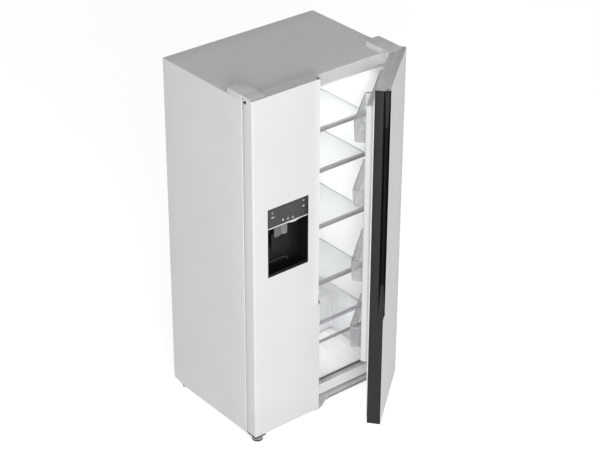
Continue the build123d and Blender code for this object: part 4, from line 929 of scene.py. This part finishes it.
# ================================================================ compartments
def compartment(x0, x1):
    """Formed liner, seen from inside: rounded corners all round and over the step at the back."""
    bm = bmesh.new()
    yf = -255.7
    sec = [(yf, 101.0), (96.0, 101.0), (96.0, 310.0), (262.0, 310.0), (262.0, 1716.0), (yf, 1716.0)]
    a = [bm.verts.new((x0, y, z)) for y, z in sec]
    b = [bm.verts.new((x1, y, z)) for y, z in sec]
    bm.faces.new(a)
    bm.faces.new(list(reversed(b)))
    for i in range(5):
        bm.faces.new((a[i], b[i], b[i + 1], a[i + 1]))
    es = [e for e in bm.edges if len(e.link_faces) == 2]
    bmesh.ops.bevel(bm, geom=es, offset=15.0, segments=5, profile=0.5, affect="EDGES", clamp_overlap=True)
    # flat lip that closes the corners behind the face frame
    rim = [e for e in bm.edges if len(e.link_faces) == 1]
    new = bmesh.ops.extrude_edge_only(bm, edges=rim)["geom"]
    xc, zc = (x0 + x1) / 2, (101.0 + 1716.0) / 2
    for v in [g for g in new if isinstance(g, bmesh.types.BMVert)]:
        dx, dz = v.co.x - xc, v.co.z - zc
        hx_, hz_ = (x1 - x0) / 2, (1716.0 - 101.0) / 2
        v.co.x = xc + max(-hx_ - 7, min(hx_ + 7, dx * (1.0 if abs(dx) < hx_ - 16 else (hx_ + 7) / max(abs(dx), 1e-6))))
        v.co.z = zc + max(-hz_ - 7, min(hz_ + 7, dz * (1.0 if abs(dz) < hz_ - 16 else (hz_ + 7) / max(abs(dz), 1e-6))))
    return bm


piece("fridge_inner", compartment(-24.0, 390.0), "cabinet", "white_liner", solid=1.6, solid_off=1.0, replaces="fridge_liner", sharp=40)
piece("freezer_inner", compartment(-390.0, -82.0), "cabinet", "white_liner", solid=1.6, solid_off=1.0, replaces="freezer_liner", sharp=40)

bm = bmesh.new()
for z in SHELF_Z + (372.0,):
    for x, s in ((-24.0, 1), (390.0, -1)):
        prof = [(x - s * 0.8, z - 13.0), (x + s * 2.0, z - 11.0), (x + s * 5.0, z - 7.0), (x + s * 6.0, z - 4.0), (x + s * 6.0, z - 1.4), (x + s * 5.2, z - 0.2), (x + s * 4.0, z), (x - s * 0.8, z)]
        rings = []
        for y, k in ((-118.0, 0.25), (-116.5, 0.7), (-113.0, 0.95), (-108.0, 1.0), (60.0, 1.0), (220.0, 1.0), (226.0, 0.9), (228.0, 0.5)):
            rings.append([(x + (px - x) * k, y, z - 6 + (pz - z + 6) * (0.5 + 0.5 * k)) for px, pz in prof])
        loft(bm, rings)
for x in (20.0, 346.0):
    rbox(bm, x - 5, x + 5, -240.0, 92.0, 100.6, 116.4, 2.0, 3)
piece("fridge_ledges", bm, "cabinet", "white_liner")

bm = bmesh.new()
for z in (1090.0, 850.0, 580.0):
    for x, s in ((-390.0, 1), (-82.0, -1)):
        xa, xb = sorted((x - s * 0.6, x + s * 6.0))
        rbox(bm, xa, xb, -120.0, 184.0, z - 8.0, z, 2.0, 3)
for x, s in ((-390.0, 1), (-82.0, -1)):
    xa, xb = sorted((x - s * 0.6, x + s * 24.0))
    rbox(bm, xa, xb, -120.0, 150.0, 1336.0, 1344.8, 2.0, 3)
piece("freezer_ledges", bm, "cabinet", "white_liner")

# glass shelves with polished edges, and their front trims
MAT["smoke"] = clear("smoke", (0.90, 0.91, 0.915), (0.42, 0.43, 0.44), 0.12, 0.35, 0.34)
bm = bmesh.new()
for z in SHELF_Z:
    rslab(bm, rr(-22.0, 388.0, -127.9, 230.0, (2.0, 2.0, 10.0, 10.0), 5), "z", z + 0.1, z + 4.1, 0.7, 2)
bm.normal_update()
for f in bm.faces:
    f.material_index = 0 if abs(f.normal.z) > 0.9 else 1
piece("fridge_glass", bm, "cabinet", "shelf_glass", mats=[MAT["shelf_glass"], MAT["glass_edge"]], replaces="fridge_shelf_glass")
bm = bmesh.new()
for z in SHELF_Z:
    prof = [(-128.3, -8.6), (-129.6, -10.0), (-141.0, -10.0), (-144.0, -9.1), (-145.6, -6.8), (-146.0, -3.4), (-145.2, -2.6), (-145.2, -1.6), (-146.0, -0.8), (-146.0, 3.6), (-145.4, 6.0),
            (-143.8, 7.6), (-141.6, 8.0), (-131.0, 8.0), (-129.0, 7.5), (-128.3, 6.2)]
    rings = []
    for x, k in ((-22.0, 0.9), (-21.2, 0.97), (-20.0, 1.0), (386.0, 1.0), (387.2, 0.97), (388.0, 0.9)):
        rings.append([(x, -137.0 + (y + 137.0) * k, z - 1 + (h + 1) * k) for y, h in prof])
    loft(bm, rings)
piece("fridge_trims", bm, "cabinet", "grey_trim", replaces="fridge_shelf_trims", sharp=30)
bm = bmesh.new()
for z in SHELF_Z:
    # rear rail of each shelf
    rslab(bm, rr(228.0, 236.0, z - 4.0, z + 10.0, 2.0, 3), "x", -20.0, 124.0, 0.8, 2)
    rslab(bm, rr(228.0, 236.0, z - 4.0, z + 10.0, 2.0, 3), "x", 242.0, 386.0, 0.8, 2)
piece("fridge_shelf_rear_rails", bm, "cabinet", "grey_trim", sharp=40)

# crisper: cover, drawer and its grip
bm = bmesh.new()
rslab(bm, rr(-22.0, 388.0, -139.0, 230.0, (2.0, 2.0, 8.0, 8.0), 5), "z", 372.1, 377.0, 0.8, 2)
piece("crisper_lid", bm, "cabinet", "shelf_glass", replaces="crisper_cover")
bm = bmesh.new()
prof = [(-140.2, 352.6), (-141.6, 352.0), (-144.6, 352.2), (-145.8, 353.6), (-146.0, 356.0), (-146.0, 372.0), (-145.4, 375.2), (-143.6, 376.8), (-141.0, 377.0), (-140.2, 376.2)]
prism(bm, prof, "x", -16.0, 382.0)
piece("crisper_lid_front", bm, "cabinet", "shelf_glass", mat="smoke", sharp=40)
bm = bmesh.new()
tub(bm, -17.0, 383.0, -245.0, 90.0, 117.0, 344.6, 2.6, 5.0, 16.0)
for i in range(7):
    xc = 33.0 + 50.0 * i
    rslab(bm, rr(xc - 1.5, xc + 1.5, -220.0, 70.0, 1.4, 3), "z", 119.2, 122.0, 0.8, 2)
piece("crisper_tub", bm, "crisper_drawer", "clear_plastic", replaces="crisper_drawer", sharp=40)
bm = bmesh.new()
prof = [(-216.4, 313.4), (-218.0, 313.0), (-227.0, 313.0), (-229.2, 314.0), (-230.0, 316.2), (-230.0, 321.6), (-229.2, 324.0), (-227.0, 325.0), (-218.6, 325.0), (-216.8, 324.4), (-216.0, 322.8), (-216.0, 321.8), (-224.0, 321.4), (-226.4, 319.6), (-226.4, 317.6), (-224.4, 316.0), (-216.4, 315.4)]
rings = []
for x, k in ((-16.6, 0.85), (-15.6, 0.96), (-14.0, 1.0), (380.0, 1.0), (381.6, 0.96), (382.6, 0.85)):
    rings.append([(x, -238.0 + (y + 223.0) * k, 339.0 + (z - 319.0) * k) for y, z in prof])
loft(bm, rings)
# dark strips on the liner floor under the drawer front: painted shade for the gap under the drawer
rest = bmesh.new()
rslab(rest, rr(26.5, 339.5, -249.0, -120.0, 6.0, 5), "z", 101.1, 102.3, 0.4, 2)
rslab(rest, rr(-21.0, 13.5, -249.0, -120.0, 4.0, 5), "z", 101.1, 102.3, 0.4, 2)
rslab(rest, rr(352.5, 388.0, -249.0, -120.0, 4.0, 5), "z", 101.1, 102.3, 0.4, 2)
piece("drawer_rest_strips", rest, "cabinet", "seal", mat="rest_strip_painted_shade", sharp=40)
mat_bm = bmesh.new()
rslab(mat_bm, rr(-7.5, 373.5, -235.0, 80.0, 12.0, 5), "z", 119.75, 121.3, 0.5, 2)
for i in range(9):
    xc = -7.5 + 381.0 * (i + 1) / 10.0
    rslab(mat_bm, rr(xc - 1.1, xc + 1.1, -222.0, 66.0, 1.0, 3), "z", 121.0, 122.6, 0.6, 2)
piece("crisper_mat", mat_bm, "crisper_drawer", "white_liner", mat="drawer_mat", sharp=40)
# near-black rail along the drawer's lower front edge, with three pads under it: painted shadow of the gap under the
# drawer
foot = bmesh.new()
rbox(foot, -6.0, 372.0, -244.2, -240.9, 117.4, 127.6, 1.0, 3)
for x in (60.0, 183.0, 306.0):
    rbox(foot, x - 12.0, x + 12.0, -242.0, -236.0, 116.9, 118.6, 0.6, 2)
piece("crisper_foot_rail", foot, "crisper_drawer", "grey_trim", mat="painted_shadow_rail", sharp=40)
piece("crisper_grip", bm, "crisper_drawer", "grey_trim", sharp=35)

# freezer drawers, ice bin and its screw
bm, rim = bmesh.new(), bmesh.new()
for z0, z1, y1 in ((101.2, 296.0, 92.0), (310.2, 560.0, 184.0)):
    tub(bm, -386.0, -86.0, -148.0, y1, z0, z1 - 0.4, 2.6, 4.0, 14.0)
    prof = [(-134.6, z1 - 15.0), (-145.0, z1 - 15.0), (-147.2, z1 - 14.0), (-148.0, z1 - 12.0), (-148.0, z1 - 3.0), (-147.0, z1 - 0.8), (-145.0, z1), (-136.0, z1), (-134.4, z1 - 0.8), (-134.0, z1 - 2.4), (-142.0, z1 - 3.2), (-144.2, z1 - 5.2), (-144.2, z1 - 10.0), (-142.4, z1 - 12.0), (-134.6, z1 - 12.6)]
    prism(rim, prof, "x", -384.0, -88.0)
piece("freezer_drawer_tubs", bm, "cabinet", "clear_plastic", replaces="freezer_drawers", sharp=40)
piece("freezer_drawer_grips", rim, "cabinet", "grey_trim", sharp=35)
a = bmesh.new()
tub(a, -376.0, -98.0, -146.0, 160.0, 1345.0, 1500.0, 3.0, 4.0, 16.0)
b = bmesh.new()
lathe(b, ((0.01, -170.0), (6.4, -170.0), (6.4, 180.0), (0.01, 180.0)), (-236.0, 0.0, 1385.0), "y", 24)
a = cut(a, b)
b = bmesh.new()
rbox(b, -316.0, -244.0, -130.0, -96.0, 1338.0, 1356.0, 6.0, 3)
a = cut(a, b)
piece("ice_bin_tub", a, "cabinet", "clear_plastic", replaces="ice_bin", sharp=40)
bm = bmesh.new()
lathe(bm, ((0.01, -145.5), (5.2, -145.5), (6.0, -144.6), (6.0, 181.0), (5.2, 182.0), (0.01, 182.0)), (-236.0, 0.0, 1385.0), "y", 24)
turns, steps = 4.4, 150
rows = []
for i in range(steps + 1):
    t = i / steps
    a = 2 * pi * turns * t
    y = -122.0 + 252.0 * t
    R = 29.0 * min(1.0, 0.35 + 6 * min(t, 1 - t))
    ca, sa = cos(a), sin(a)
    ring = []
    for r, dy in ((5.0, -2.4), (R * 0.6, -1.7), (R - 1.2, -1.3), (R, -0.5), (R, 0.5), (R - 1.2, 1.3), (R * 0.6, 1.7), (5.0, 2.4)):
        ring.append((-236.0 + r * ca, y + dy, 1385.0 + r * sa))
    rows.append(ring)
loft(bm, rows)
piece("auger_screw", bm, "auger", "alloy", replaces="auger", sharp=40)

# ================================================================ dispenser
def bump_at(x, c, w):
    return exp(-((x - c) / w) ** 2)


bm = bmesh.new()
rings = []
for i in range(49):
    x = DX0 + 1.0 + (DX1 - DX0 - 2.0) * i / 48
    e = 1.0 if 0 < i < 48 else 0.5
    zl = 1139.6 - 6.5 * bump_at(x, -210.0, 25.0)
    zh = 1146.0
    zc = (zl + zh) / 2
    ring = [(-327.0, zl + 0.6), (-330.2, zl), (-331.0, zl + 0.8), (-331.2, zc), (-331.0, zh - 0.8), (-330.2, zh), (-327.0, zh - 0.6)]
    rings.append([(x, y, zc + (z - zc) * e) for y, z in ring])
loft(bm, rings)
piece("dispenser_trim", bm, "freezer_door", "chute_grey", mat="silver_trim", sharp=40)

# small pictograms on the control panel: thin raised marks
bm = bmesh.new()
YI = -330.05


def mark(pts, t=0.25):
    prism(bm, pts, "y", YI + 0.3, YI - t + 0.1)


def dot(cx, cz, r, n=16):
    mark([(cx + r * cos(2 * pi * i / n), cz + r * sin(2 * pi * i / n)) for i in range(n)])


def ring_mark(cx, cz, r0, r1, n=20):
    for i in range(n):
        a, b = 2 * pi * i / n, 2 * pi * (i + 1) / n
        mark([(cx + r1 * cos(a), cz + r1 * sin(a)), (cx + r1 * cos(b), cz + r1 * sin(b)), (cx + r0 * cos(b), cz + r0 * sin(b)), (cx + r0 * cos(a), cz + r0 * sin(a))])


def bar(x0, x1, z0, z1):
    mark([(x0, z0), (x1, z0), (x1, z1), (x0, z1)])


def drop(cx, cz, r):
    pts = [(cx + r * sin(a) , cz - r * 0.5 - r * cos(a)) for a in [radians(q) for q in range(-120, 121, 15)]]
    mark(pts + [(cx, cz + r * 1.5)])


# left pair: lamp and lock
ring_mark(-333.0, 1219.0, 3.0, 4.2)
bar(-334.6, -331.4, 1211.0, 1213.6)
bar(-338.0, -334.6, 1192.0, 1199.5)
ring_mark(-331.0, 1196.0, 2.2, 3.4, 14)
bar(-327.0, -323.4, 1192.8, 1199.2)
# middle: water drop, cube, broken ice
drop(-273.0, 1166.0, 4.2)
for x0, x1, z0, z1 in ((-249.0, -239.0, 1156.0, 1157.6), (-249.0, -239.0, 1164.6, 1166.2), (-249.0, -247.4, 1157.6, 1164.6), (-240.6, -239.0, 1157.6, 1164.6)):
    bar(x0, x1, z0, z1)
for x, z in ((-219.5, 1157.0), (-212.5, 1156.6), (-216.0, 1163.0)):
    mark([(x - 2.8, z), (x, z - 2.8), (x + 2.8, z), (x, z + 2.8)])
# right pair: two level marks
for i in range(3):
    a = pi / 3 * i
    mark([(-152.6 + 5 * cos(a) - 0.7 * sin(a), 1224.0 + 5 * sin(a) + 0.7 * cos(a)), (-152.6 + 5 * cos(a) + 0.7 * sin(a), 1224.0 + 5 * sin(a) - 0.7 * cos(a)),
          (-152.6 - 5 * cos(a) + 0.7 * sin(a), 1224.0 - 5 * sin(a) - 0.7 * cos(a)), (-152.6 - 5 * cos(a) - 0.7 * sin(a), 1224.0 - 5 * sin(a) + 0.7 * cos(a))][::-1])
bar(-159.0, -155.0, 1192.0, 1200.0)
bar(-153.4, -147.4, 1192.0, 1193.6)
bar(-153.4, -147.4, 1195.2, 1196.8)
bar(-153.4, -147.4, 1198.4, 1200.0)
piece("dispenser_marks", bm, "freezer_door", "panel_dark", mat="icon_light")

# ================================================================ door edges: dark trim with the long grip recess

def grip_depth(z):
    if z > 1610.0:
        return 28.0 - 14.0 * (z - 1610.0) / 190.0
    if z < 800.0:
        return 2.2 + 25.8 * (z - 646.0) / 154.0
    return 28.0


def edge_trim(s, x_free):
    bm = bmesh.new()
    # plain edge below the recess
    low = [(3.2, -328.6), (0.9, -328.55), (0.2, -328.3), (0.0, -327.7), (0.0, -312.0), (0.0, -303.0), (0.0, -284.0), (0.0, -265.2), (0.25, -264.4), (1.0, -264.05), (3.2, -264.0)]
    rows = []
    for z, d in ((33.0, 0.9), (33.3, 0.3), (34.2, 0.0), (330.0, 0.0), (600.0, 0.0), (645.2, 0.0), (646.0, 0.25), (646.3, 0.9)):
        rows.append([(x_free + s * (u + d), y, z) for u, y in low])
    strip(bm, rows)
    n_low = len(bm.faces)
    rows = []
    zs = [646.2, 680.0, 720.0, 760.0, 796.0, 800.0, 806.0, 1000.0, 1200.0, 1400.0, 1604.0, 1610.0, 1616.0, 1680.0, 1740.0, 1799.9]
    for z in zs:
        D = grip_depth(z)
        P = [(12.9, -334.0), (12.9, -331.1)]
        if D > 14.2:
            def front(u):
                return -331.1 + 7.1 * (u - 12.9) / 15.1
            P += [(12.9 + (D - 12.9) * 0.5, front(12.9 + (D - 12.9) * 0.5)), (D - 1.0, front(D - 1.0)), (D - 0.25, front(D) + 0.5), (D, front(D) + 1.6)]
        else:
            P += [(D + (12.9 - D) * 0.5, -329.9), (D + 0.9, -328.7), (D + 0.25, -328.2), (D, -327.2)]
        def back(u):
            return -303.0 - 7.0 * u / 28.0
        r = min(1.6, D * 0.4)
        P += [(D, -316.0), (D, back(D) - r), (D - 0.2 * r, back(D) - 0.2 * r), (D - r, back(D - r)), (D * 0.5, back(D * 0.5)), (min(0.9, D * 0.3), -303.15), (min(0.2, D * 0.1), -302.7), (0.0, -301.9),
              (0.0, -284.0), (0.0, -265.2), (0.25, -264.4), (1.0, -264.05), (3.2, -264.0)]
        rows.append([(x_free + s * u, y, z) for u, y in P])
    strip(bm, rows)
    bm.faces.ensure_lookup_table()
    # recess faces take the near-black painted shade; the two end ramps keep the trim's own black, lit where light
    # reaches in
    for f in bm.faces:
        c = f.calc_center_median()
        u = (c.x - x_free) * s
        if c.z > 646.2 and c.y < -303.2 and u > 0.05:
            on_ramp = (c.z < 800.0 or c.z > 1610.0) and abs(u - grip_depth(c.z)) < 0.3
            f.material_index = 0 if on_ramp else 1
    return bm


for s, x_free, body, turn, name in ((1, XR, "fridge_door", True, "fridge_door"), (-1, XL, "freezer_door", False, "freezer_door")):
    piece(name + "_edge_trim", edge_trim(s, x_free), body, "black_trim", mats=[MAT["black_trim"], MAT["black_painted_shade"]], solid=0.9, solid_off=0.0, replaces=name + "_handle", turn=turn, sharp=46)
    bm = bmesh.new()
    pts = [(x_free + s * u, y) for u, y in ((0.15, -328.4), (0.15, -303.4), (20.0, -303.4), (30.0, -308.0), (30.0, -328.4))]
    rslab(bm, pts if s > 0 else pts[::-1], "z", 643.4, 646.5, 0.6, 2)
    pts = [(x_free + s * u, z) for u, z in ((0.3, 612.0), (17.0, 612.0), (17.0, 646.4), (0.3, 646.4))]
    rslab(bm, pts if s > 0 else pts[::-1], "y", -328.7, -327.4, 0.3, 1)
    piece(name + "_grip_sill", bm, body, "black_trim", turn=turn, sharp=46)

# ================================================================ dispenser spout, tray rim
bm = bmesh.new()


def spout_low(x):
    return 1081.5 + 4.0 * bump_at(x, -273.0, 14.0)


# dark duct behind, open below
o, i = (-314.0, -242.0, -316.6, -280.0, 8.0), (-311.6, -244.4, -314.2, -282.4, 6.0)
loft(bm, [put(rr(*i, 6), "z", 1284.0), put(rr(*i, 6), "z", 1092.4), put(rr(*o, 6), "z", 1092.0), put(rr(*o, 6), "z", 1286.0)], cap0=True, cap1=True)
# level run through the door
o = rr(-319.0, -241.0, 1244.4, 1286.0, 6.0, 5)
i = rr(-316.6, -243.4, 1246.8, 1283.6, 4.5, 5)
loft(bm, [put(i, "y", -284.0), put(i, "y", -222.4), put(o, "y", -222.4), put(o, "y", -284.0)], loop=True)
piece("ice_spout", bm, "freezer_door", "chute_grey", mat="cavity_black", replaces="ice_chute", sharp=50)

# flap that closes the duct, with its hinge rod
bm = bmesh.new()
rslab(bm, rr(-309.6, -246.4, -312.6, -287.2, (6.5, 6.5, 1.0, 1.0)), "z", 1127.0, 1129.0, 0.5, 2)
lathe(bm, ((0.01, -309.6), (1.8, -309.6), (2.2, -309.2), (2.2, -246.8), (1.8, -246.4), (0.01, -246.4)), (0.0, -287.0, 1128.0), "x", 24)
piece("spout_flap", bm, "chute_flap", SLOT["chute_flap"], replaces="chute_flap", sharp=40)

# smoke-grey shield in front of it: waved lower edge, a soft fold down the middle, rounded sides; the part left of the
# fold is painted darker and the part right of it lighter, painted shade and painted light
bm = bmesh.new()
xs = [-311.0 + 73.0 * i / 36 for i in range(37)]


def shield_y(x, z):
    side = max(0.0, 1.0 - (x + 311.0) / 7.0, 1.0 - (-238.0 - x) / 7.0)
    fold = 1.6 * bump_at(x, -276.0 - 0.10 * (z - 1110.0), 9.0)
    return -319.9 + 6.0 * side ** 2.2 + fold * 0.9


rows = []
for k in range(9):
    t = k / 8.0
    rows.append([(x, shield_y(x, spout_low(x) + (1142.0 - spout_low(x)) * t) + (1.4 if k == 0 else 0.0), spout_low(x) + (1142.0 - spout_low(x)) * t) for x in xs])
strip(bm, rows)
bm.faces.ensure_lookup_table()
# faces left of the fold get the painted shade, faces right of it the painted light
for f in bm.faces:
    c = f.calc_center_median()
    f.material_index = 0 if c.x < -276.0 - 0.10 * (c.z - 1110.0) else 1
piece("spout_shield", bm, "freezer_door", "chute_grey", mats=[MAT["shield_painted_shade"], MAT["shield_painted_light"]], solid=2.0, solid_off=1.0, sharp=60)
# light tubes along the lower edge and both sides: painted highlight on the shield's rims
bm = bmesh.new()
tube(bm, [(x, shield_y(x, spout_low(x)) + 0.4, spout_low(x) + 0.3) for x in xs[1:-1]], 1.0, 8)
tube(bm, [(-311.0, shield_y(-311.0, z) - 0.2, z) for z in (1081.4, 1100.0, 1120.0, 1138.0)], 0.8, 8)
tube(bm, [(-238.2, shield_y(-238.2, z) - 0.2, z) for z in (1081.4, 1100.0, 1120.0, 1138.0)], 0.8, 8)
piece("spout_rim", bm, "freezer_door", "chute_grey", mat="shield_rim_painted_highlight", sharp=60)
bm = bmesh.new()
tube(bm, [(-356.0, -261.6, 921.0), (-300.0, -261.6, 921.0), (-222.0, -261.6, 921.0), (-212.0, -261.6, 920.6), (-204.0, -261.6, 918.6), (-197.5, -261.6, 914.6), (-193.5, -261.6, 909.0), (-192.0, -261.6, 902.0)], 1.5, 10)
piece("drip_tray_rim", bm, "freezer_door", "chute_grey", mat="tray_rim", sharp=60)

# ================================================================ levelling feet: moulded disc on a rubber sole, hexagon and threaded stem; the sole takes the near-black painted shade, standing in partly for the contact shadow under the foot
for s, name in ((-1, "front_foot_left"), (1, "front_foot_right")):
    bm = bmesh.new()
    c = (s * 411.0, -303.0, 0.0)
    lathe(bm, ((0.01, 7.6), (23.6, 7.6), (24.4, 7.8), (24.4, 8.2), (22.6, 8.7), (13.0, 9.0), (0.01, 9.0)), c, "z", 48)
    k = len(bm.faces)
    lathe(bm, ((0.01, 0.0), (23.4, 0.0), (24.8, 0.5), (25.5, 1.6), (25.5, 6.6), (24.9, 7.5), (24.0, 7.7), (0.01, 7.7)), c, "z", 48)
    bm.faces.ensure_lookup_table()
    for f in bm.faces[k:]:
        f.material_index = 1
    k = len(bm.faces)
    hexa = [(c[0] + 10.8 * cos(pi / 3 * i), c[1] + 10.8 * sin(pi / 3 * i)) for i in range(6)]
    rslab(bm, hexa, "z", 8.9, 14.0, 0.7, 2)
    turns = []
    z = 13.9
    while z < 30.6:
        turns += [(4.3, z), (5.0, z + 0.45), (5.0, z + 0.75), (4.3, z + 1.2)]
        z += 1.25
    lathe(bm, [(0.01, 13.6)] + turns + [(3.6, 31.4), (0.01, 31.5)], c, "z", 24)
    bm.faces.ensure_lookup_table()
    for f in bm.faces[k:]:
        f.material_index = 2
    piece(name + "_disc", bm, name, "dark_steel", mats=[MAT["light_cap"], MAT["black_painted_shade"], MAT["zinc"]], replaces=name, sharp=35)

# shoes around the lower hinge plates, open round the stems of the feet
bm = bmesh.new()
for s in (-1, 1):
    a = bmesh.new()
    x0, x1 = sorted((s * 379.4, s * 441.4))
    rslab(a, rr(x0, x1, -329.4, -262.0, 5.0), "z", 24.6, 32.3, 0.8, 2)
    b = bmesh.new()
    lathe(b, ((0.01, 20.0), (5.9, 20.0), (5.9, 36.0), (0.01, 36.0)), (s * 411.0, -303.0, 0.0), "z", 28)
    u = cut(a, b)
    me = bpy.data.meshes.new("tmp")
    u.to_mesh(me)
    u.free()
    bm.from_mesh(me)
    bpy.data.meshes.remove(me)
piece("lower_hinge_shoes", bm, "cabinet", "dark_steel", mat="hinge_black", sharp=40)


# toes of the rear roller forks: they hang from the base pan and show under the side panels
bm = bmesh.new()
for s in (-1, 1):
    x0, x1 = sorted((s * 424.0, s * 440.8))
    rslab(bm, rr(x0, x1, 249.0, 263.0, 2.0), "z", 15.5, 40.2, 0.8, 2)
piece("rear_fork_toes", bm, "cabinet", "dark_steel", mat="hinge_black", sharp=40)


# the small fill lights reach the cabinet front only
front_frame = bpy.data.collections.new("front_frame")
for name in ("top_sheet", "base_frame", "kick_moulding", "side_wrap_right"):
    for o in bpy.data.objects:
        if o.name == name or o.name == "v_" + name:
            front_frame.objects.link(o)
for o in FILLS:
    o.light_linking.receiver_collection = front_frame

bpy.context.view_layer.update()
